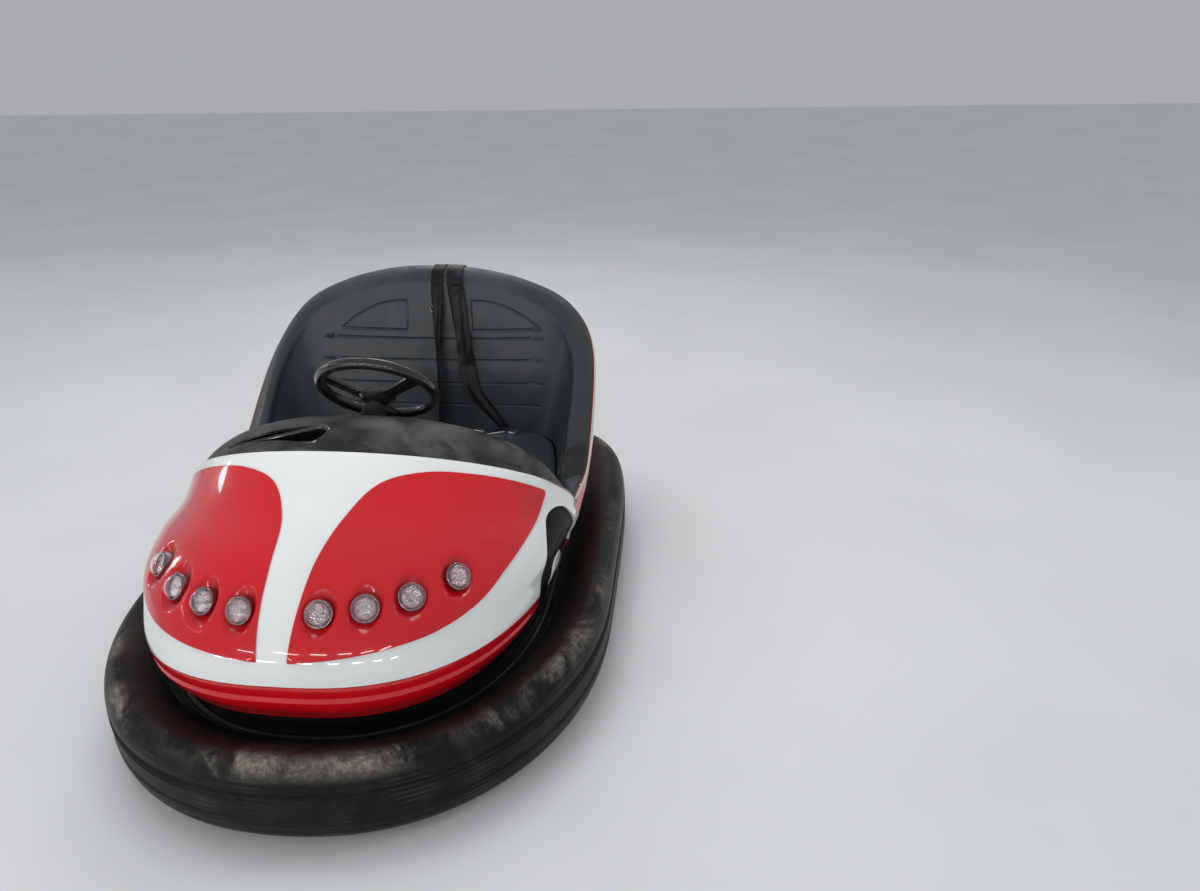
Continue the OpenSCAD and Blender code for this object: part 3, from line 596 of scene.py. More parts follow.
# Worn surfaces: noise of the wear (scale, detail, roughness), where it begins and is full, its share in the colour,
# clean and worn colours, roughness and how much wear adds, bump (scale, detail, strength, depth), other sockets.
WORN = {
    "black gelcoat": ((7.0, 5.0, 0.55), (0.5, 0.8), 0.4, (0.006, 0.006, 0.007), (0.03, 0.028, 0.027), (0.1, 0.2),
                      (30.0, 2.0, 0.04, 0.002), {"coat_weight": 1.0, "coat_roughness": 0.03}),
    "disc black": ((9.0, 6.0, 0.6), (0.48, 0.75), 0.5, (0.004, 0.004, 0.005), (0.022, 0.020, 0.019), (0.42, 0.2),
                   (220.0, 3.0, 0.08, 0.0005), {"specular_ior_level": 0.08}),
    "ribbed rubber": ((24.0, 5.0, 0.55), (0.5, 0.8), 0.5, (0.012, 0.012, 0.012), (0.06, 0.057, 0.052), (0.5, 0.3),
                      (300.0, 3.0, 0.2, 0.0005), {}),
    "wheel gloss": ((30.0, 5.0, 0.55), (0.52, 0.75), 0.3, (0.010, 0.010, 0.011), (0.045, 0.045, 0.047), (0.2, 0.2),
                    (480.0, 2.0, 0.12, 0.0004), {"coat_weight": 0.6, "coat_roughness": 0.08}),
    "wheel rubber": ((38.0, 6.0, 0.55), (0.4, 0.7), 1.0, (0.018, 0.018, 0.018), (0.07, 0.066, 0.062), (0.7, 0.15),
                     (340.0, 4.0, 0.3, 0.0008), {}),
    "plated steel": ((50.0, 5.0, 0.55), (0.5, 0.8), 0.4, (0.72, 0.72, 0.74), (0.42, 0.40, 0.38), (0.1, 0.2),
                     (200.0, 2.0, 0.05, 0.0003), {"metallic": 1.0}),
    "battery case": ((8.0, 6.0, 0.55), (0.45, 0.75), 0.6, (0.03, 0.03, 0.04), (0.11, 0.105, 0.10), (0.45, 0.3),
                     (500.0, 2.0, 0.2, 0.0005), {}),
    "motor case": ((20.0, 7.0, 0.65), (0.44, 0.7), 0.7, (0.10, 0.11, 0.12), (0.045, 0.038, 0.032), (0.4, 0.3),
                   (120.0, 4.0, 0.2, 0.0006), {"coat_weight": 0.2, "coat_roughness": 0.3}),
}
MADE = {}


def finishes():
    """All materials by name, made on the first call."""
    if not MADE:
        for maker in (worn_finishes, gelcoats, dash_finish, seat_finishes, rubbers, metals, lamp_finishes):
            maker()
    return MADE


def keep(name, finish):
    MADE[name] = finish.material


def worn_finishes():
    for name, (noise, (low, high), share, clean, worn, rough, grain, sockets) in WORN.items():
        f = Finish(name, **sockets)
        wear = f.noise(*noise).step(low, high)
        f.set(base_color=f.blend(wear * share, clean, worn), roughness=rough[0] + wear * rough[1],
              normal=f.bump(f.noise(*grain[:2]), *grain[2:]))
        keep(name, f)


def gelcoats():
    """Glossy glass-fibre colours with a slight ripple and a thin film of dust."""
    for name, colour in (("red gelcoat", looks().red), ("white gelcoat", looks().white),
                         ("dark red edge", looks().dark_red), ("cream trim", (0.50, 0.47, 0.41))):
        f = Finish(name, coat_weight=1.0, coat_roughness=0.035, specular_ior_level=0.15)
        colour = tuple(colour)
        dust = f.noise(5.0, 6.0, 0.6).step(0.52, 0.78)
        fine = f.noise(90.0, 3.0).step(0.45, 0.75)
        cloud = f.noise(2.2, 2.0).step(0.3, 0.7)
        darker = tuple(c * 0.86 for c in colour)
        base = f.blend(cloud, colour, darker)
        dusty = tuple(c * 0.85 + 0.03 for c in colour)
        f.set(base_color=f.blend(dust * fine * 0.35, base, dusty), roughness=0.2 + dust * 0.2,
              normal=f.bump(f.noise(26.0, 2.0), 0.05, 0.002))
        keep(name, f)


def dash_finish():
    """Satin black moulding with patches of dust and long scuffs."""
    f = Finish("satin dash", specular_ior_level=0.3)
    dust = f.noise(4.2, 8.0, 0.68, warp=0.6).step(0.44, 0.64)
    scuff = f.noise(40.0, 6.0, 0.7, f.place((1, 5, 1))).step(0.55, 0.75)
    f.set(base_color=f.blend(dust * 0.75 + scuff * 0.2, (0.012, 0.012, 0.013), (0.12, 0.115, 0.105)),
          roughness=0.36 + dust * 0.34, normal=f.bump(f.noise(620.0, 2.0) + 0.4 * f.noise(60.0), 0.18, 0.0006))
    keep("satin dash", f)


def seat_finishes():
    """Grained black moulding, and woven webbing."""
    f = Finish("seat moulding", specular_ior_level=0.45)
    grain = f.cells(420.0) + 0.5 * f.noise(260.0, 3.0)
    dust = f.noise(3.4, 7.0, 0.62, warp=0.4).step(0.48, 0.74)
    streak = f.noise(9.0, 5.0, 0.6, f.place((3, 3, 0.35))).step(0.52, 0.74)
    _, _, z = f.axes()
    # Lighter in blotches towards the top of the seat, set by height alone.
    lighter_top = z.step(0.66, 0.82) * f.noise(6.0, 7.0, 0.65).step(0.3, 0.7)
    black = tuple(looks().seat)
    grey = tuple(c * 1.9 + 0.016 for c in black)
    f.set(base_color=f.blend((dust * 0.42 + streak * 0.22 + lighter_top * 0.55).least(1.0), black, grey),
          roughness=0.36 + dust * 0.24 + lighter_top * 0.12, normal=f.bump(grain, 0.28, 0.0005))
    keep("seat moulding", f)

    for name, tint in (("webbing", (0.0035, 0.0033, 0.0042)), ("shiny webbing", (0.005, 0.0042, 0.0062))):
        f = Finish(name, specular_ior_level=0.3)
        u, v, _ = f.axes(f.uv())
        along, across = (u * 900.0).sine(), (v * 60.0).sine()
        weave = along * across * 0.5 + 0.5
        worn = f.noise(20.0, 5.0).step(0.5, 0.8)
        f.set(base_color=f.blend(weave * 0.5 + worn * 0.3, tint, tuple(c * 2.2 for c in tint)),
              roughness=0.34 + weave * 0.16, normal=f.bump(weave, 0.4, 0.0005))
        keep(name, f)


def rubbers():
    """The tyre's rubber: fine rings on its flank with light lines that are part dust and part painted highlight, road
    dust on its upper face, scuffs, and painted shade with a painted red reflection on its inner side by the body.
    """
    f = Finish("tyre rubber", specular_ior_level=0.13)
    _, _, z = f.axes()
    _, v, _ = f.axes(f.uv())
    # inner marks the tyre's inner side by the body, where painted shade and a painted red reflection go.
    top, inner = z.step(0.165, 0.200), v.step(0.62, 0.71)
    patches = f.noise(4.6, 9.0, 0.66, warp=0.8).step(0.47, 0.62)
    fluff = f.noise(80.0, 9.0, 0.8).step(0.38, 0.66)
    film = f.noise(11.0, 8.0, 0.7, warp=0.5).step(0.4, 0.75)
    brown = f.noise(3.0, 4.0).step(0.4, 0.7)
    dust_colour = f.blend(brown, tuple(looks().dust), tuple(c * 0.55 for c in looks().dust))
    scuff = f.noise(30.0, 7.0, 0.7, f.place((1, 1, 7))).step(0.58, 0.72)
    # Light lines on the flank's rings: part dust in the grooves, part painted highlight.
    line = (z * (math.pi * 1000 / mm("ring_pitch"))).sine().size() ** 14 * f.noise(9.0, 6.0).step(0.46, 0.7)
    # The dust fades on the inner side: painted shade under the body.
    dust = (top * (patches * (0.3 + 0.7 * fluff) + film * 0.16) * (1 - 0.75 * inner)).least(1.0)
    base = f.blend(dust, tuple(looks().tyre), dust_colour)
    # Painted shade and a painted red reflection of the body: the inner side turns dark red.
    base = f.blend(inner * top * 0.7, base, (0.020, 0.008, 0.008))
    # Scuffs, dust film and the ring lines lighten the flank; the ring lines are partly painted highlight.
    flank = scuff * 0.3 + line * 0.5 + film * 0.12
    base = f.blend(flank * (1 - top), base, (0.10, 0.095, 0.09))
    f.set(base_color=base, roughness=0.38 + dust * 0.5 + scuff * 0.15,
          normal=f.bump(f.noise(260.0, 4.0) + 0.9 * fluff * top, 0.4, 0.001))
    keep("tyre rubber", f)


def metals():
    """Black enamel, plain steel and the lamps' rings."""
    f = Finish("black enamel", coat_weight=0.3, coat_roughness=0.2)
    chips = f.noise(46.0, 8.0, 0.7).step(0.64, 0.7)
    dirt = f.noise(6.0, 6.0, 0.6).step(0.42, 0.72)
    base = f.blend(dirt * 0.5, (0.022, 0.022, 0.024), (0.085, 0.075, 0.065))
    f.set(base_color=f.blend(chips, base, (0.16, 0.13, 0.11)), roughness=0.42 + dirt * 0.3, metallic=chips * 0.6,
          normal=f.bump(f.noise(150.0, 3.0) - 0.6 * chips, 0.2, 0.0006))
    keep("black enamel", f)

    f = Finish("plain steel", metallic=1.0)
    brushed = f.noise(60.0, 5.0, 0.6, f.place((1, 14, 1)))
    grime = f.noise(11.0, 6.0).step(0.48, 0.74)
    f.set(base_color=f.blend(grime * 0.6, (0.42, 0.42, 0.43), (0.16, 0.13, 0.11)),
          roughness=0.26 + brushed * 0.2 + grime * 0.2, normal=f.bump(brushed, 0.12, 0.0004))
    keep("plain steel", f)

    f = Finish("lamp metal", metallic=1.0)
    haze = f.noise(90.0, 4.0).step(0.4, 0.8)
    # Pinkish tint: a painted reflection of the red panels round the lamps.
    f.set(base_color=f.blend(haze, (0.36, 0.27, 0.28), (0.22, 0.15, 0.15)), roughness=0.22)
    keep("lamp metal", f)


def lamp_finishes():
    """Clear domes, faceted mirrors tinted pink as a painted reflection of the red panels, and frosted bulbs."""
    f = Finish("lamp glass", transmission_weight=1.0, ior=1.45)
    f.set(base_color=(0.98, 0.98, 0.98), roughness=0.02 + f.noise(80.0, 3.0).step(0.5, 0.9) * 0.08)
    keep("lamp glass", f)

    f = Finish("lamp mirror", metallic=1.0)
    facets = f.cells(260.0)
    # The pink tint is a painted reflection of the red panels round the lamps.
    f.set(base_color=f.blend(facets.step(0.2, 0.9), (0.98, 0.90, 0.92), (0.60, 0.40, 0.43)),
          roughness=0.12 + facets * 0.12, normal=f.bump(facets, 0.8, 0.0015))
    keep("lamp mirror", f)

    f = Finish("bulb glass", transmission_weight=0.5, ior=1.4)
    f.set(base_color=(0.9, 0.9, 0.88), roughness=0.1 + f.noise(120.0).step(0.3, 0.9) * 0.1)
    keep("bulb glass", f)


# Soft lights: name, place, point they face, size, power, seen in mirroring surfaces.
LIGHTS = (
    ("overhead_light", (-0.3, 0.3, 3.8), (0, 0, 0), (2.4, 1.8), 50, False),
    ("front_light", (-2.4, -3.6, 3.0), (0, 0, 0.3), (1.6, 1.2), 16, False),
    ("side_light", (3.6, 0.4, 2.4), (0, 0, 0.4), (0.9, 0.7), 14, False),
    ("back_light", (-0.6, 3.8, 2.6), (0, 0, 0.4), (1.0, 0.6), 10, True),
)
# Rows of tube lights, for the rows of highlights: name, number, first place, step, size, power.
STRIPS = (
    ("low_strip", 8, (-6.6, -7.2, 1.7), (1.6, 0, 0), (0.7, 0.22), 16),
    ("front_strip", 6, (-4.6, -7.4, 3.6), (1.7, 0, 0), (1.0, 0.12), 8),
    ("left_strip", 3, (-6.5, -3.5, 3.2), (0, 1.6, 0), (1.2, 0.12), 5),
    ("rear_strip", 4, (-2.0, 3.6, 3.6), (1.4, 0, 0), (1.0, 0.07), 4),
    ("left_window", 1, (-6.4, 1.9, 2.2), (0, 0, 0), (0.45, 1.3), 14),
)
AMBIENT, BACKDROP, DAYLIGHT = (0.95, 0.97, 1.0), (0.40, 0.41, 0.43), 0.5
# The photograph's camera: place and direction in metres, roll in degrees, focal length and width in pixels.
CAMERA_AT, CAMERA_WAY, CAMERA_ROLL = (0.7598, -1.9699, 1.4080), (-0.0959, 0.9041, -0.4165), 1.01
FOCAL, PHOTO_WIDTH = 877.5, 1200


# Sizes and colours that a user would change.
def length(name, description, default):
    return bpy.props.FloatProperty(name=name, description=description, default=default, min=0.0, unit="LENGTH",
                                   precision=4)


def colour(name, description, default):
    return bpy.props.FloatVectorProperty(name=name, description=description, default=default, size=3, min=0.0,
                                         max=1.0, subtype="COLOR")


class BumperSizes(bpy.types.PropertyGroup):
    panel_lift: length("Panel thickness", "How far the red eye panels stand off the hood", 0.003)
    hollow_depth: length("Lamp hollow", "Depth of the soft hollow round each lamp", 0.022)
    lamp_radius: length("Lamp radius", "Radius of a lamp's dome", 0.024)
    bezel_width: length("Bezel width", "Width of the bright ring round a dome", 0.004)
    ring_depth: length("Tyre ring depth", "Depth of the fine rings on the tyre's flank", 0.0020)
    ring_pitch: length("Tyre ring pitch", "Distance between the rings on the tyre's flank", 0.012)
    groove_depth: length("Groove depth", "Depth of the grooves in the backrest", 0.0026)
    belt_width: length("Narrow belt", "Width of the narrow belt's webbing", 0.036)
    wide_belt_width: length("Wide belt", "Width of the wide belt's webbing", 0.050)
    belt_thickness: length("Webbing", "Thickness of the webbing", 0.0018)
    wheel_radius: length("Steering wheel", "Radius to the middle of the wheel's rim", 0.139)
    rim_radius: length("Wheel rim", "Radius of the rim's section", 0.014)


class BumperLooks(bpy.types.PropertyGroup):
    red: colour("Red", "Colour of the red gelcoat", (0.58, 0.004, 0.009))
    dark_red: colour("Dark red", "Colour of the red edge beside the seat", (0.16, 0.008, 0.012))
    white: colour("White", "Colour of the white gelcoat", (0.78, 0.80, 0.79))
    seat: colour("Seat", "Colour of the moulded seat", (0.026, 0.031, 0.035))
    tyre: colour("Tyre", "Colour of the tyre's clean rubber", (0.0055, 0.0055, 0.006))
    dust: colour("Dust", "Colour of the dust on the tyre", (0.31, 0.28, 0.24))


class Piece:
    """What the operators share: each makes its pieces in object mode."""
    bl_options = {"REGISTER"}

    def execute(self, context):
        self.make()
        start()
        return {"FINISHED"}


class AddTyre(Piece, bpy.types.Operator):
    """Rubber tyre with fine rings on its flank and three grooves on its upper face"""
    bl_idname = "bumper.tyre"
    bl_label = "Tyre"

    def make(self):
        a = even(tyre_plan, -90, 270, 360, loop=True)
        last, first, second = TYRE_SECTION[-1], TYRE_SECTION[0], TYRE_SECTION[1]
        table = [last, *TYRE_SECTION, first, second]
        u = np.concatenate([np.linspace(1, 3, 12)[:-1], np.linspace(3, 5, 66)[:-1], np.linspace(5, 13, 56)[:-1],
                            np.linspace(13, 17, 14)[:-1]])
        s = row(table, u) * (TYRE_T, TYRE_H)
        normal = np.roll(s, -1, 0) - np.roll(s, 1, 0)
        normal = unit(stack(-normal[:, 1], normal[:, 0]))
        h = s[:, 1]
        flank = smooth((h - 22) / 12) * smooth((138 - h) / 12) * (u < 6)
        rings = (np.cos(2 * np.pi * h / mm("ring_pitch")) ** 8 - 1) * flank * mm("ring_depth")
        ridges = sum(high * np.exp(-((u - at) / half) ** 2) for at, half, high in (
            (7.55, 0.13, 1.6), (10.6, 0.13, 1.6), (6.1, 0.1, 1.1)))
        s = s + normal * (rings - ridges - KEEP_IN)[:, None]
        x, y = plan(a[:, None], s[None, :, 0])
        tyre = loft("rubber_tyre", stack(x, y, TYRE_GAP + s[:, 1] + 0 * x), loop_u=True, loop_v=True)
        finish(tyre, "tyre rubber", "tyre", nodes=["tyre"], angle=60)


class AddSkirt(Piece, bpy.types.Operator):
    """Glossy black skirt between the body and the tyre"""
    bl_idname = "bumper.skirt"
    bl_label = "Skirt"

    def make(self):
        a = even(tyre_plan, -90, 270, 300, loop=True)
        top = TYRE_GAP + 0.66 * TYRE_H + 12
        front = (a < 0) | (a > 180)
        lip = level(np.broadcast_to(np.array(HOOD[0], float), a.shape + (6,)), np.where(a < 0, a + 90, a - 270))
        q = np.where(front[:, None], lip, tail_at(np.clip(a, 0, 180), 0.0))
        u = unit(stack(q[:, 0], q[:, 1] - SILL_Y))

        def body(d):
            return q[:, 0] - u[:, 0] * d, q[:, 1] - u[:, 1] * d

        outer, inner = plan(a, SKIRT_IN), plan(a, SKIRT_IN + SKIRT_WALL)
        rings = [(*outer, FLOOR_DECK), (*outer, top - 6)]
        c = body(14)
        for k in np.linspace(0, 1, 9):
            bow = 5 * math.sin(math.pi * k)
            rings.append((mix(outer[0], c[0], k) - bow * u[:, 0], mix(outer[1], c[1], k) - bow * u[:, 1],
                          mix(top, LIP_Z - 8, k)))
        for d, z in ((10, 5.2), (4, 5), (3, 4.4), (3, 0.6), (4, 0), (18, 0)):
            rings.append((*body(d), LIP_Z - z))
        rings += [(*inner, top), (*inner, FLOOR_DECK)]
        points = np.stack([stack(x, y, np.full_like(x, z)) for x, y, z in rings], 1)
        skirt = loft("glossy_skirt", points, loop_u=True, loop_v=True)
        finish(skirt, "black gelcoat", "black_gloss", nodes=["skirt"])


def wall(t0, t1, rows, back, soft=0.0045, depth=SHELL):
    """A shell's section as level and depth pairs: up its outer face, over a soft edge, and down its inner face."""
    outer = [(t, 0) for t in np.linspace(t0 + soft, t1 - soft, rows)]
    inner = [(t, -depth) for t in np.linspace(t1 - soft, t0 + soft, back)]
    top = [(t1 - 0.35 * soft, -0.5), (t1, -2.2), (t1, -depth + 0.6)]
    low = [(t0, -depth + 0.6), (t0, -2.2), (t0 + 0.35 * soft, -0.5)]
    return np.array(outer + top + inner + low).T


def arches(piece):
    """Cuts the round recesses for the mock wheels."""
    sideways = Matrix.Rotation(math.pi / 2, 3, "Y")
    for side in (-1, 1):
        cut(piece, cylinder("arch", MOCK_R, 120, (side * (BODY_HALF - 20), MOCK_Y, MOCK_Z), sideways, sides=128))


def lamp_places():
    """The turn and place of each lamp."""
    for side in (-1, 1):
        for phi, t in LAMPS:
            p, n, _, _ = lamp_frame(phi, t)
            f = unit(np.array([side * n[0], n[1], n[2] * 0.55]))
            turn = Matrix.Rotation(math.atan2(f[1], f[0]), 3, "Z") @ Matrix.Rotation(math.acos(f[2]), 3, "Y")
            yield (side * p[0], p[1], p[2]), turn


def lamp_holes(piece, side=0):
    """Cuts the holes for the lamps on one side, or on both."""
    r = mm("lamp_radius") + mm("bezel_width") + LAMP_GAP
    for at, turn in lamp_places():
        if side * at[0] >= 0:
            cut(piece, cylinder("hole", r, 110, at, turn, sides=64))


def hollowed(phi, t, d):
    """The hood's points with the lamps' hollows pressed into them."""
    depth = hollow(hood_off(np.abs(phi), t, 0 * d))
    p = hood_off(np.abs(phi), t, d - depth)
    p[..., 0] *= np.where(phi < 0, -1, 1)
    return p


class AddHood(Piece, bpy.types.Operator):
    """White hood and red lip with the hollows of the lamps and the arches of the mock wheels"""
    bl_idname = "bumper.hood"
    bl_label = "Hood and lip"

    def make(self):
        phi = even(lambda a: hood_at(a, 0.4), -90, 90, 241)
        for name, t0, t1, rows, material, slot, node in (
                ("white_hood", 0.0, 1.0, 110, "white gelcoat", "white_gelcoat", "front_shell"),
                ("red_lip", -0.4, -0.003, 70, "red gelcoat", "red_gelcoat", "lip_band")):
            t, d = wall(t0, t1, rows, 12)
            if name == "red_lip":
                d = d + self.shoulder(phi[:, None], -t / 0.4) * (d > -1)
            piece = loft(name, hollowed(*np.broadcast_arrays(phi[:, None], t, d)), loop_v=True, ends=True)
            arches(piece)
            if name == "white_hood":
                lamp_holes(piece)
            finish(piece, material, slot, nodes=[node], angle=30)

    def shoulder(self, phi, down):
        """How far the lip swells a quarter of the way down, fading to its foot and towards the arches."""
        swell = LIP_SWELL * smooth((down - 0.24) / 0.10) * (1 - smooth((down - 0.4) / 0.6))
        return swell * smooth((68 - np.abs(phi)) / 12)


class AddPanels(Piece, bpy.types.Operator):
    """Red leaf-shaped panels with soft edges, laid on the hood"""
    bl_idname = "bumper.panels"
    bl_label = "Eye panels"

    def make(self):
        u, margin, back = np.linspace(0, 1, 111), 0.002, 30
        s = margin + (1 - 2 * margin) * (0.4 * smooth(u) + 0.6 * u)
        r = row(EYE, s * (len(EYE) - 1))
        edge = np.array([0.0, 0.0, 0.0015, 0.005])
        share = np.concatenate([edge, np.linspace(0.012, 0.988, 80), 1 - edge[::-1], np.linspace(0.99, 0.01, back)])
        phi, t = (mix(r[:, i + 2, None], r[:, i, None], share[None]) for i in (0, 1))
        lift = mm("panel_lift") + PANEL_GAP
        rise = [PANEL_GAP, 0.6 * lift, 0.87 * lift]
        d = np.array(rise + [lift] * 82 + rise[::-1] + [PANEL_GAP] * back)
        tip = smooth(s / 0.02) * smooth((1 - s) / 0.02)
        d = PANEL_GAP + (d - PANEL_GAP) * tip[:, None]
        for side, name in ((-1, "red_panel_left"), (1, "red_panel_right")):
            p = hollowed(phi, t, d)
            p[..., 0] *= side
            piece = loft(name, p, loop_v=True, ends=True)
            lamp_holes(piece, side)
            finish(piece, "red gelcoat", "red_gelcoat", nodes=["eye_panels"], angle=30)


class AddLamps(Piece, bpy.types.Operator):
    """Eight clear domes in bright bezels, each with a faceted mirror and a bulb"""
    bl_idname = "bumper.lamps"
    bl_label = "Lamps"

    def make(self):
        r = mm("lamp_radius")
        base = r + mm("bezel_width")
        arc = np.radians(np.linspace(0, 90, 16))
        ring = rounded([(r + 0.3, -22), (base, -22), (base, 4.6), (base - 1.6, 6.6), (r + 0.3, 6.2)], 1.4)
        bowl = [((r - 2) * math.cos(q), 1 - 15.5 * math.sin(q)) for q in arc[:15]]
        over = [(r * math.cos(q) * 0.985, 7 + 14.6 * math.sin(q)) for q in arc]
        under = [((r - 1.6) * math.cos(q) * 0.985, 7 + 13 * math.sin(q)) for q in arc[::-1]]
        parts = {
            "lamp_ring": (ring, "lamp metal", "bright_metal", "lamp_bezels"),
            "lamp_bowl": ([(0, -20), (r, -20), (r, 1), (r - 0.8, 1.2), *bowl, (0, -14.6)], "lamp mirror",
                          "mirror_metal", "lamp_reflectors"),
            "lamp_dome": ([(r - 0.3, 1.5), *over, *under, (r - 1.9, 1.5)], "lamp glass", "clear_lens", "lamp_lenses"),
        }
        bulb = [(0, -15), (3, -15), (3, -7)] + [
            (5.2 * math.sin(q), -2.5 - 5.2 * math.cos(q)) for q in np.radians(np.linspace(35, 180, 14))]
        for number, (at, turn) in enumerate(lamp_places(), 1):
            for name, (profile, material, slot, node) in parts.items():
                piece = settle(lathe(f"{name}_{number}", profile, 48), at, turn)
                finish(piece, material, slot, nodes=[node])
            finish(settle(lathe(f"lamp_bulb_{number}", bulb, 24), at, turn), "bulb glass", "clear_lens")


class AddMockWheels(Piece, bpy.types.Operator):
    """Black mock wheels in the flanks, each with a white hub"""
    bl_idname = "bumper.mock_wheels"
    bl_label = "Mock wheels"

    def make(self):
        phi, t = even(lambda q: hood_at(q, 0.4), 40, 90, 81), np.linspace(-0.4, 1, 85)
        flank = loft("flank", hood_at(phi[:, None], t[None]))
        self.flank = BVHTree.FromObject(flank, bpy.context.evaluated_depsgraph_get())
        self.angle = np.radians(np.arange(0, 360, 2.5))
        # Rings of the disc and its hub: share of the way out, depth under the flank, or None at the cup's floor.
        drum, hub = [(0.0, 9.0), (0.0, 7.0), (0.01, 6.2)], []
        for share in np.linspace(0.03, 0.96, 40):
            drum.append((share, 6 + 1.8 * math.exp(-((share - 0.46) / 0.03) ** 2)))
        drum += [(0.985, 6.3), (1.0, 7.6), (1.0, None), (0.0, None)]
        drum = [self.ring(HUB_IN, MOCK_R - 0.6, *place) for place in drum]
        for share in (0.0, 0.2, 0.4, 0.6, 0.8, 0.95):
            hub.append((share, 2.4 + 1.2 * share ** 2))
        hub += [(0.985, 4.2), (1.0, 5.6), (1.0, None), (0.0, None)]
        hub = [self.ring(0.0, HUB_R, *place) for place in hub]
        for side, word in ((-1, "left"), (1, "right")):
            for name, rings, material, slot, node, closed in (
                    ("mock_wheel", drum, "disc black", "black_gloss", "mock_wheels", True),
                    ("mock_hub", hub, "white gelcoat", "white_gelcoat", "mock_hubs", False)):
                points = np.stack(rings, 1) * (side, 1, 1)
                piece = loft(f"{name}_{word}", points, loop_u=True, loop_v=closed)
                finish(piece, material, slot, nodes=[node])
        bpy.data.objects.remove(flank)

    def ring(self, low, high, share, deep):
        """A ring at a share of the way from low to high, this deep under the flank, or at the cup's floor.

        The lip's edge cuts it off below."""
        up = np.sin(self.angle)
        edge = np.where(up < 0, (MOCK_Z - LIP_Z - 2) / np.maximum(-up, 0.01), 1e3)
        size = low + share * (np.minimum(high, edge) - low)
        points = []
        for y, z in zip(MOCK_Y + size * np.cos(self.angle), MOCK_Z + size * up):
            hit = self.flank.ray_cast(Vector((700, y, z)) * 0.001, Vector((-1, 0, 0)))[0]
            points.append((CUP_X + CUP_FLOOR if deep is None else hit.x * 1000 - deep, y, z))
        return np.array(points)


class AddRearShell(Piece, bpy.types.Operator):
    """Red rear shell with its turned-in rim, the cream trim on its edge and dark red edges beside the seat"""
    bl_idname = "bumper.rear_shell"
    bl_label = "Rear shell"

    def make(self):
        a = even(lambda q: tail_at(q, 1.0), 0, 180, 261)
        outer = [tail_off(a, t, 0.0) for t in np.linspace(0, 0.992, 60)]
        rim = [rim_at(a, d, h) for d, h in (
            (0.2, 1.2), (1.2, 2.6), (3, 3.8), (5.2, 4.6), (8, FLANGE_H), (14, FLANGE_H), (20, FLANGE_H), (20, -1))]
        inner = [tail_off(a, t, -SHELL) for t in np.linspace(0.985, 0, 20)]
        finish(ribbon("red_rear_shell", outer + rim + inner), "red gelcoat", "red_gelcoat", nodes=["rear_shell"])
        for name, material, slot, section in (
                ("white_edge_trim", "cream trim", "white_gelcoat", [
                    (-0.5, -0.6), (-0.7, 1.2), (0.1, 3.6), (1.4, 5.2), (2.7, 6.1), (3.4, 5.9), (3.4, 4.4), (2, 3.4),
                    (1.0, 2.2), (0.1, 0.6), (0.0, -0.6)]),
                ("dark_red_edge", "dark red edge", "red_gelcoat", [
                    (3.6, 4.9), (3.6, 5.6), (6, 6.2), (14, 6.0), (14, 4.9)])):
            finish(ribbon(name, [rim_at(a, d, h) for d, h in section]), material, slot)
        phi = np.linspace(60, 89.6, 50)
        wide = 0.012 * smooth((phi - 60) / 12) + 0.001
        section = [(1, 0.3), (0.95, 1.3), (0.5, 1.7), (0.05, 1.3), (0, 0.3)]
        for side, word in ((-1, "left"), (1, "right")):
            rows = [hood_off(phi, 0.999 - wide * share, 0 * phi + d) * (side, 1, 1) for share, d in section]
            finish(ribbon(f"dark_red_sill_{word}", rows), "dark red edge", "red_gelcoat")


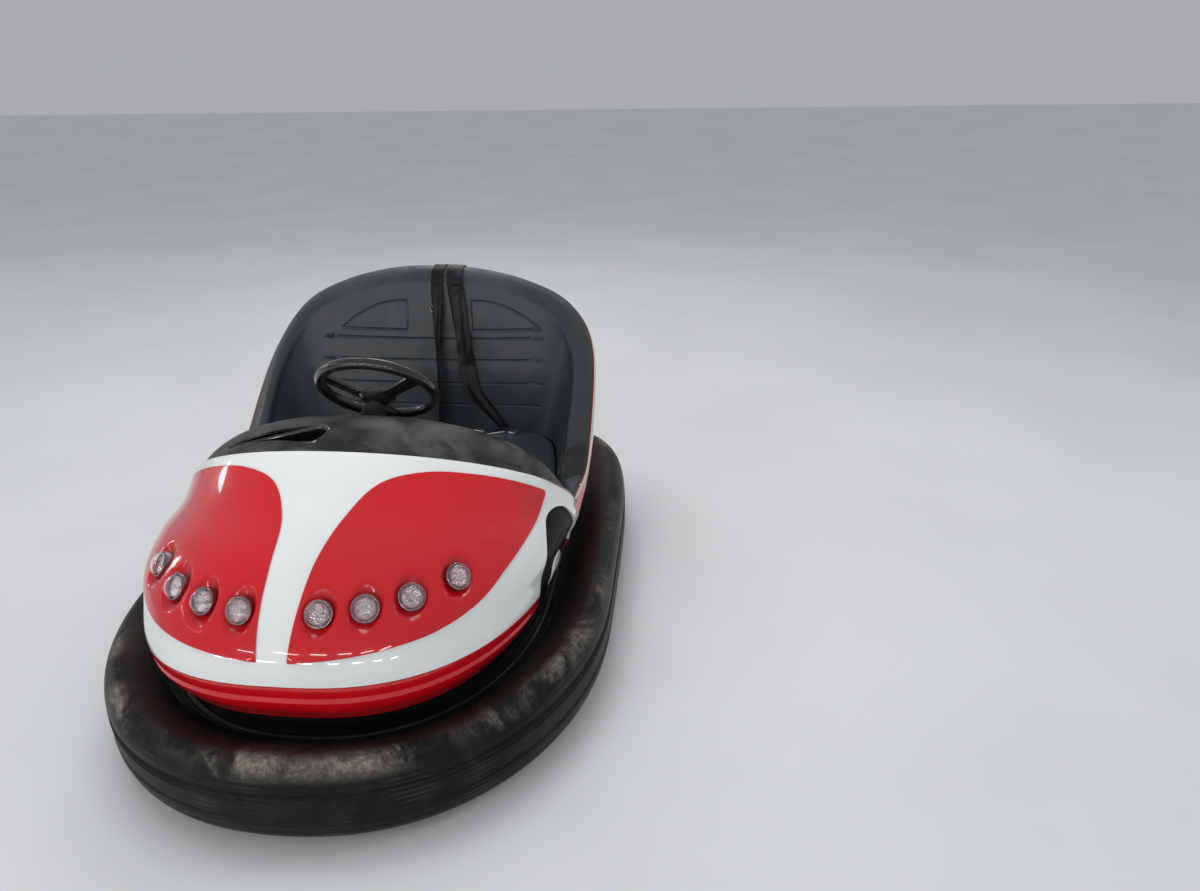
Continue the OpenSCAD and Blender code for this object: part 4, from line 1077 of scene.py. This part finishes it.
class AddDash(Piece, bpy.types.Operator):
    """Satin black dash with its pointed glossy slot and the ribbed boot of the column"""
    bl_idname = "bumper.dash"
    bl_label = "Dash, slot and boot"

    def make(self):
        phi = even(lambda a: dash_at(a, 0.3), -90, 90, 201)
        t = np.concatenate([np.linspace(0, 0.9, 50), np.linspace(0.92, 1, 8)])
        q, up = np.broadcast_arrays(phi[:, None], t)
        lap, lip = (hood_off(phi, 0 * phi + high, 0 * phi - 6.6) for high in (0.965, 0.998))
        outer, inner = dash_off(q, up, 0 * up), dash_off(q, up[:, ::-1], 0 * up - DASH_WALL)
        points = np.concatenate([lap[:, None], lip[:, None], outer, inner, lap[:, None] - (0, 0, 5)], 1)
        dash = loft("satin_dash", points, loop_v=True, ends=True)
        self.slot(dash, BVHTree.FromObject(dash, bpy.context.evaluated_depsgraph_get()))
        cut(dash, cylinder("column_hole", 34, 390, *on_column((0, 0, -205))))
        finish(dash, "satin dash", "black_satin", nodes=["dash"])
        self.boot()

    def slot(self, dash, tree):
        """A glossy tray in the dash, with a rolled edge that follows the dash."""
        r, tip, reach = 33, 4, 229
        middle, turn = (-73, -235), math.radians(172.5)
        a = math.degrees(math.acos((r - tip) / reach))
        line = [(b, 0) for b in np.linspace(a, 360 - a, 56)] + [(b, reach) for b in np.linspace(-a, a, 14)]

        def ring(inset, lift):
            """The slot's outline, moved inward, at a height over the dash."""
            made = []
            for b, along in line:
                size = (tip if along else r) - inset
                x, y = along + size * math.cos(math.radians(b)), size * math.sin(math.radians(b))
                px = middle[0] + x * math.cos(turn) - y * math.sin(turn)
                py = middle[1] + x * math.sin(turn) + y * math.cos(turn)
                hit = tree.ray_cast(Vector((px, py, 900)) * 0.001, Vector((0, 0, -1)))
                made.append((px, py, hit[0].z * 1000 + lift))
            return np.array(made)

        rings = [ring(inset, lift) for inset, lift in (
            (-3.4, 0.2), (-3.0, 1.5), (-1.6, 2.2), (0.2, 1.8), (1.6, 0), (3, -8), (3.9, -18), (3.9, -30), (3.9, -36))]
        centre = rings[-1].mean(0)
        floor = mix(rings[-1], centre, 0.5)
        floor[:, 2] = centre[2] - 3
        inside = [np.repeat(centre[None] - (0, 0, z), len(line), 0) for z in (4, 10)]
        under = [ring(1.5, -44), ring(0.4, -30), ring(-1.0, -6)]
        tray = loft("glossy_slot", np.array([*rings, floor, *inside, *under]), loop_u=True, loop_v=True)
        cut(dash, loft("slot_cutter", np.array([ring(-0.6, 30), ring(-0.6, -60)]), loop_v=True, ends=True))
        finish(tray, "black gelcoat", "black_gloss", nodes=["dash_tray"])

    def boot(self):
        """The column's ribbed boot."""
        profile = [(22.5, -104), (33.6, -104), (33.6, -84), (31, -81)]
        for k in range(5):
            z, valley, crest = -80 + k * 7.4, 27 - k * 0.9, 32.4 - k * 1.7
            profile += [(valley, z), (crest, z + 1.6), (crest, z + 4.6), (valley, z + 6)]
        profile.append((22.5, -45))
        bellows = settle(lathe("column_bellows", rounded(profile, 1.3, 3), 64), *on_column((0, 0, 0)))
        finish(bellows, "ribbed rubber", "soft_black", nodes=["column_boot"])


def on_column(at):
    """The place and turn of a point on the steering column."""
    turn = Matrix.Rotation(math.radians(-COLUMN_TILT), 3, "X")
    p = turn @ Vector(at) + Vector((0, 0, WHEEL_Z))
    return tuple(p), turn


class AddSteering(Piece, bpy.types.Operator):
    """Thick glossy steering wheel with a dished hub on three broad spokes"""
    bl_idname = "bumper.steering"
    bl_label = "Steering wheel"

    def make(self):
        at, turn = on_column((0, 0, 0))
        start()
        bpy.ops.mesh.primitive_torus_add(major_radius=sizes().wheel_radius, minor_radius=sizes().rim_radius,
                                         major_segments=128, minor_segments=28)
        rim = settle(named("steering_rim"), at, turn)
        finish(rim, "wheel gloss", "black_gloss", "steering", nodes=["steering_wheel"])
        hub = [(0, -40), (22, -40), (34, -34), (47, -19), (46, -14), (40, -15), (30, -21), (0, -23.5)]
        cap = [(0, -22.8), (17, -22.3), (17, -20.5), (14, -18), (0, -17)]
        for name, profile, soft, turns in (("steering_hub", hub, 4, 72), ("hub_cap", cap, 1.5, 48)):
            piece = settle(lathe(name, rounded(profile, soft), turns), at, turn)
            finish(piece, "wheel gloss", "black_gloss", "steering")
        for k in range(3):
            spoke = self.spoke(f"steering_spoke_{k + 1}", mm("wheel_radius"))
            settle(spoke, at, turn @ Matrix.Rotation(math.radians(90 + 120 * k), 3, "Z"))
            finish(spoke, "wheel gloss", "black_gloss", "steering")
        dressed("steering_column", "column_tube", "plain steel", "steering", 0.6)

    def spoke(self, name, reach):
        """A spoke from the hub down to the rim, wider at both ends."""
        rings = []
        for u in np.linspace(0, 1, 22):
            x = mix(34, reach - 2, u)
            half = 16 + 6 * u ** 3 + 4 * (1 - u) ** 3
            z = mix(-20, -1, smooth(u) * 0.6 + u * 0.4)
            thick = mix(5.2, 6.5, u)
            ring = rounded([(-half, -thick), (half, -thick), (half, thick * 0.4), (half - 5, thick * 0.75),
                            (5 - half, thick * 0.75), (-half, thick * 0.4)], 3, 3)
            rings.append([(x, y, z + h) for y, h in ring])
        return loft(name, np.array(rings), loop_v=True, ends=True)


def near_lines(x, z, lines):
    """Distance from points to the nearest of some lines on the backrest."""
    best = np.full(x.shape, 1e9)
    for line in lines:
        for (x0, z0), (x1, z1) in zip(line, line[1:]):
            dx, dz = x1 - x0, z1 - z0
            u = np.clip(((x - x0) * dx + (z - z0) * dz) / (dx * dx + dz * dz), 0, 1)
            best = np.minimum(best, np.hypot(x - x0 - u * dx, z - z0 - u * dz))
    return best


class AddSeat(Piece, bpy.types.Operator):
    """Moulded seat with thick rolls, grooves across its back and two quarter panels"""
    bl_idname = "bumper.seat"
    bl_label = "Seat"

    def make(self):
        a = even(lambda q: seat_at(q, np.full_like(q, 8.5)), 0, 180, 431,
                 lambda p: np.where((np.abs(p[:, 0]) < 350) & (p[:, 1] > 300), 2.0, 1.0))
        k = np.concatenate([np.broadcast_to(np.linspace(0, 7, 34), (len(a), 34)), self.backrest(a),
                            np.full((len(a), 1), 10.0)], 1)
        q = a[:, None] + 0 * k
        p = seat_at(q, k)
        side, height = p[..., 0], p[..., 2]
        level_lines = [[(GROOVE_IN, g), (far, g)] for g, far in GROOVES]
        near = np.minimum(near_lines(np.abs(side), height, level_lines),
                          near_lines(np.abs(side - PANEL_SHIFT), height, [PANEL_LINE]))
        on_back = smooth((k - 6.9) / 0.1) * smooth((fold(q) - 40) / 8)
        p = seat_at(q, k, -mm("groove_depth") * smooth(1.25 - near / GROOVE_SLOPE) * on_back)
        k = np.linspace(9.9, 0.1, 18)[None] + 0 * a[:, None]
        inner = seat_at(a[:, None] + 0 * k, k, 0 * k - SEAT_WALL)
        seat = loft("moulded_seat", np.concatenate([p, inner], 1), loop_v=True, ends=True)
        finish(seat, "seat moulding", "seat_vinyl", nodes=["seat_shell"], angle=50)
        self.bench()
        self.arm_pads()

    def backrest(self, a):
        """Rows down the backrest: level ones behind the rider, closer at the grooves, and even ones in the arms."""
        coarse, middling, fine = 4.5, 2.2, 1.125
        panel_low, panel_high = 640, 732
        levels = set(np.arange(742, 342, -coarse)) | set(np.arange(panel_low + 2, panel_high, middling))
        for z in [groove[0] for groove in GROOVES] + [panel_low]:
            levels |= set(np.arange(z - coarse, z + coarse + 0.1, fine))
        levels = np.array(sorted(levels, reverse=True))
        count = len(levels)
        high, low = seat_path(a)[:, (7, 10), 1].T[..., None]
        evenly = (np.arange(count) + 1) / (count + 1)
        level = np.clip((high - levels[None]) / (high - low), 0.002, 0.998)
        k = 7 + 3 * mix(evenly[None], level, smooth((fold(a)[:, None] - 50) / 6))
        return np.minimum(np.maximum.accumulate(k + np.arange(count) * 1e-5, axis=1), 9.999)

    def arm_pads(self):
        """A dark pad on the front end of each arm."""
        gap, thick, edge = 0.5, 2.6, 0.09
        u = np.linspace(0, 1, 34)
        soft = smooth(np.minimum(u, 1 - u) / edge)
        lift = gap + thick * np.minimum(soft[:, None], soft[None])
        a, k = mix(10.5, 20.5, u)[:, None], mix(0.9, 5.0, u)[None]
        for word, turned in (("right", a), ("left", 180 - a)):
            top, low = seat_at(turned, k, lift), seat_at(turned, k[:, ::-1], gap + 0 * lift)
            pad = loft(f"arm_pad_{word}", np.concatenate([top, low], 1), loop_v=True, ends=True)
            finish(pad, "ribbed rubber", "seat_vinyl", angle=60)

    def bench(self):
        """A crowned cushion that fills the foot of the seat, with a rounded edge."""
        gap, nose_y, underside = 2.0, 74, -68
        side = foot_at(np.linspace(0, 180, 721), gap)
        side = side[side[:, 1] > nose_y]
        nose = np.linspace(side[-1], side[0], 200)
        line = np.concatenate([side, nose[1:]])
        run = np.concatenate([[0], np.cumsum(np.linalg.norm(np.diff(line, axis=0), axis=1))])
        at = np.linspace(0, run[-1], 241)[:-1]
        line = stack(np.interp(at, run, line[:, 0]), np.interp(at, run, line[:, 1]))
        centre = np.array([0, 245.0])
        way = line - centre
        inward, round_edge = 1 / np.linalg.norm(way, axis=1, keepdims=True), 20
        corner = [(round_edge * (1 - math.cos(b)), -round_edge * (1 - math.sin(b))) for b in np.radians(
            np.linspace(0, 90, 9))]
        shares = [(1 - d * inward, z) for d, z in [(0, -62), (0, -30), (0, -22)] + corner]
        shares += [((1 - round_edge * inward) * u, 7 * (1 - u ** 2)) for u in np.linspace(0.9, 0, 16)]
        shares += [(u, underside) for u in (0, 0.5, 0.97)]
        rings = [stack(*(centre + way * share).T, BENCH_Z + z) for share, z in shares]
        cushion = loft("bench_cushion", np.stack(rings, 1), loop_u=True, loop_v=True)
        finish(cushion, "seat moulding", "seat_vinyl", nodes=["seat_bench"], angle=60)


class AddBelts(Piece, bpy.types.Operator):
    """Two belts over the backrest, with a slider, buckles and the plate that holds them"""
    bl_idname = "bumper.belts"
    bl_label = "Belts"

    def make(self):
        thick = mm("belt_thickness")
        for column, width, name, node, material in (
                (0, mm("belt_width"), "narrow_belt", "belt_left", "webbing"),
                (1, mm("wide_belt_width"), "wide_belt", "belt_right", "shiny webbing")):
            k = np.concatenate([np.linspace(-3, 1, 25)[:-1], np.linspace(1, 9.85, 190)])
            line = row(np.array(BELT_LINE, float), np.where(k > 9, 12 + (k - 9) / 0.85, k + 3))
            down = k[:, None]  # from 4.5 on it leaves the roll and may twist, from 5 on it crumples
            turn = np.radians(BELT_TURN) * line[:, column + 2, None] * smooth((down - 4.5) / 1.5)
            across = np.linspace(-0.5, 0.5, 15) * width
            free = smooth((down - 5) / 2)
            crumple = free * (2.2 * np.cos(across / width * 9 + down * 2.1) + 1.2 * np.sin(down * 13 + across / 9))
            lift = BELT_GAP + thick + np.abs(np.sin(turn)) * width / 2 + across * np.sin(turn) + crumple + 3.4 * free
            middle = self.points(line[:, column, None] + across * np.cos(turn), down + 0 * across, lift)
            normal = unit(np.cross(np.gradient(middle, axis=0), np.gradient(middle, axis=1)))
            top, low = middle + normal * thick / 2, middle - normal * thick / 2
            points = np.concatenate([top, low[:, ::-1]], 1)
            belt = loft(name, points, loop_v=True, ends=True)
            finish(belt, material, "webbing", nodes=[node], angle=50)
            width * 0.001
        dressed("belt_anchor", "belt_plate", "black enamel", soft=0.8)
        dressed("buckles", "belt_buckles", "plated steel", soft=2.0)
        self.slider(SLIDER_W, SLIDER_H, *self.frame_at(SLIDER_X, SLIDER_K, SLIDER_D))

    def frame_at(self, x, k, d):
        """Place and turn of a plate that lies d off the backrest."""
        a = float(seat_dir(x, k))
        p, up = seat_at(a, k, d), unit(seat_at(a, k - 0.05) - seat_at(a, k + 0.05))
        out = unit(seat_at(a, k, d + 1.0) - p)
        return tuple(p), Matrix((np.cross(up, out), up, out)).transposed()

    def slider(self, wide, high, at, turn):
        """A flat plate with rounded corners and a raised edge, through which a belt runs."""
        rings = []
        for inset, z in ((1, -4), (0, -3), (0, 2), (1, 3), (5, 3), (6, 2.2), (6.4, 0.4)):
            w, h = wide / 2 - inset, high / 2 - inset
            rings.append([(x, y, z) for x, y in rounded([(-w, -h), (w, -h), (w, h), (-w, h)], 4)])
        piece = settle(loft("belt_slider", np.array(rings), loop_v=True, ends=True), at, turn)
        finish(piece, "black gelcoat", "black_gloss")

    def points(self, x, k, d):
        """Points x beside the middle, d off the car: up the tail (k -3), over the rim, down the seat (k 1 to 10)."""
        roll = rim_at(np.array(90.0), ROLL_IN, 0.0)[1] - SILL_Y
        a = np.degrees(np.arctan2(roll, x))
        anchors = np.stack([
            tail_off(a, 0.92, d), tail_off(a, 1.0, d) + (0, 0, 1.5),
            rim_at(a, 3.5, FLANGE_H + d), rim_at(a, ROLL_IN - d, FLANGE_H + d), seat_at(a, 1.0, d)], -2)
        over = row(anchors, np.clip(k + 3, 0, 4))
        direction = np.empty_like(x)
        for i in range(len(x)):
            direction[i] = seat_dir(x[i], max(k[i, 0], 1.0))
        on_seat = seat_at(direction, np.maximum(k, 1.0), d + 0 * k)
        return np.where((k < 1)[..., None], over, on_seat)


class AddFloor(Piece, bpy.types.Operator):
    """Floor plate, steel rim, cross members, seat box, mat, pedal and battery"""
    bl_idname = "bumper.floor"
    bl_label = "Floor and chassis"

    def make(self):
        dressed("chassis_rim", "steel_rim", "black enamel", soft=0.8)
        dressed("floor_plate", "deck_plate", "black enamel")
        dressed("cross_members", "floor_beams", "black enamel", soft=1.2)
        dressed("seat_box", "seat_box_panel", "battery case", soft=1.5)
        dressed("floor_mat", "ribbed_mat", "ribbed rubber", soft=1.0)
        dressed("pedal", "foot_pedal", "plain steel", soft=1.5)
        dressed("battery", "battery_block", "battery case", soft=3)


class AddRunningGear(Piece, bpy.types.Operator):
    """Drive wheel with its fork and motor, steering head, axle and back wheels"""
    bl_idname = "bumper.running_gear"
    bl_label = "Running gear"

    def make(self):
        dressed("axle_brackets", "axle_hangers", "black enamel", soft=0.8)
        dressed("rear_axle", "back_axle", "plain steel", soft=0.8)
        dressed("steering_head", "swivel_head", "black enamel", soft=1.0)
        dressed("column_post", "column_bracket", "black enamel", soft=1.0)
        dressed("drive_fork", "wheel_fork", "black enamel", "drive_unit", 0.8)
        dressed("drive_motor", "hub_motor", "motor case", "drive_unit", 2.0)
        dressed("drive_hub", "wheel_hub", "plain steel", "drive_roller", 1.0)
        for wheel in WHEELS:
            self.wheel(*wheel)

    def wheel(self, name, node, body, radius, bore, width, at, grooves):
        """A solid rubber wheel with rounded shoulders and fine grooves in its tread."""
        half, round_off, deep = width / 2, 7, 2
        shoulder = [(bore, half), (radius - round_off, half), (radius - 2, half - 2), (radius, half - round_off)]
        profile = [(r, -z) for r, z in shoulder]
        for k in range(grooves):
            z = mix(-half + 9, half - 9, (k + 0.5) / grooves)
            profile += [(radius, z - 1.4), (radius - deep, z - 0.6), (radius - deep, z + 0.6), (radius, z + 1.4)]
        profile += shoulder[::-1]
        piece = settle(lathe(name, profile, 96), at, Matrix.Rotation(math.pi / 2, 3, "Y"))
        finish(piece, "wheel rubber", "wheel_rubber", body, nodes=[node], angle=25)


class AddStage(Piece, bpy.types.Operator):
    """Pale floor, soft lights, world and the photograph's camera"""
    bl_idname = "bumper.stage"
    bl_label = "Stage"

    def make(self):
        start()
        bpy.ops.mesh.primitive_plane_add(size=40)
        floor = named("studio_floor")
        f = Finish("pale floor", roughness=0.6)
        f.set(base_color=f.blend(f.noise(1.2, 3.0).step(0.3, 0.7), (0.66, 0.67, 0.68), (0.70, 0.71, 0.72)))
        floor.data.materials.append(f.material)
        for light in LIGHTS:
            self.light(*light)
        for name, count, at, step, size, power in STRIPS:
            for k in range(count):
                place = tuple(at[i] + k * step[i] for i in range(3))
                self.light(f"{name}_{k + 1}", place, (0, 0, 0.3), size, power, True)
        self.world()
        self.camera()
        bpy.context.scene.view_settings.view_transform = "Standard"

    def light(self, name, at, to, size, power, mirrored):
        bpy.ops.object.light_add(type="AREA", location=at)
        light = bpy.context.object
        light.name = name
        light.data.shape = "RECTANGLE"
        light.data.size, light.data.size_y, light.data.energy = *size, power
        light.visible_glossy, light.visible_camera = mirrored, False
        light.rotation_euler = (Vector(to) - Vector(at)).to_track_quat("-Z", "Y").to_euler()

    def world(self):
        """Soft daylight, with a grey backdrop for what looks straight, through glass or off a gloss at it."""
        world = bpy.data.worlds.new("studio")
        bpy.context.scene.world = world
        world.use_nodes = True
        tree = world.node_tree
        ambient, seen = tree.nodes["Background"], tree.nodes.new("ShaderNodeBackground")
        ambient.inputs["Color"].default_value = (*AMBIENT, 1)
        ambient.inputs["Strength"].default_value = DAYLIGHT
        seen.inputs["Color"].default_value = (*BACKDROP, 1)
        path = tree.nodes.new("ShaderNodeLightPath")
        sees = path.outputs["Is Camera Ray"]
        for ray in ("Is Transmission Ray", "Is Glossy Ray"):
            most = tree.nodes.new("ShaderNodeMath")
            most.operation = "MAXIMUM"
            tree.links.new(sees, most.inputs[0])
            tree.links.new(path.outputs[ray], most.inputs[1])
            sees = most.outputs[0]
        both = tree.nodes.new("ShaderNodeMixShader")
        for socket, source in enumerate((sees, ambient.outputs[0], seen.outputs[0])):
            tree.links.new(source, both.inputs[socket])
        tree.links.new(both.outputs[0], tree.nodes["World Output"].inputs[0])

    def camera(self):
        bpy.ops.object.camera_add(location=CAMERA_AT)
        camera = bpy.context.object
        camera.name = "photo_camera"
        forward = Vector(CAMERA_WAY).normalized()
        right = forward.cross(Vector((0, 0, 1))).normalized()
        up = right.cross(forward)
        roll = math.radians(CAMERA_ROLL)
        across = math.cos(roll) * right - math.sin(roll) * up
        above = math.cos(roll) * up + math.sin(roll) * right
        turn = Matrix((across, above, -forward)).transposed()
        camera.matrix_world = Matrix.Translation(camera.location) @ turn.to_4x4()
        camera.data.sensor_width, camera.data.lens = 36, FOCAL / PHOTO_WIDTH * 36
        camera.data.clip_start, camera.data.clip_end = 0.05, 100
        bpy.context.scene.camera = camera


PIECES = (AddTyre, AddSkirt, AddHood, AddPanels, AddLamps, AddMockWheels, AddRearShell, AddDash, AddSteering, AddSeat,
          AddBelts, AddFloor, AddRunningGear, AddStage)


class BumperPanel(bpy.types.Panel):
    """The bumper car's pieces, sizes and colours"""
    bl_idname = "BUMPER_PT_pieces"
    bl_label = "Bumper car"
    bl_space_type = "VIEW_3D"
    bl_region_type = "UI"
    bl_category = "Bumper car"

    def draw(self, context):
        for piece in PIECES:
            self.layout.operator(piece.bl_idname)
        for group in (context.scene.bumper_sizes, context.scene.bumper_looks):
            box = self.layout.box()
            for name in group.__annotations__:
                box.prop(group, name)


def register():
    for cls in (BumperSizes, BumperLooks, *PIECES, BumperPanel):
        bpy.utils.register_class(cls)
    bpy.types.Scene.bumper_sizes = bpy.props.PointerProperty(type=BumperSizes)
    bpy.types.Scene.bumper_looks = bpy.props.PointerProperty(type=BumperLooks)


def unregister():
    del bpy.types.Scene.bumper_looks
    del bpy.types.Scene.bumper_sizes
    for cls in (BumperPanel, *reversed(PIECES), BumperLooks, BumperSizes):
        bpy.utils.unregister_class(cls)


def main():
    register()
    for piece in PIECES:
        group, name = piece.bl_idname.split(".")
        getattr(getattr(bpy.ops, group), name)()


if __name__ == "__main__":
    main()
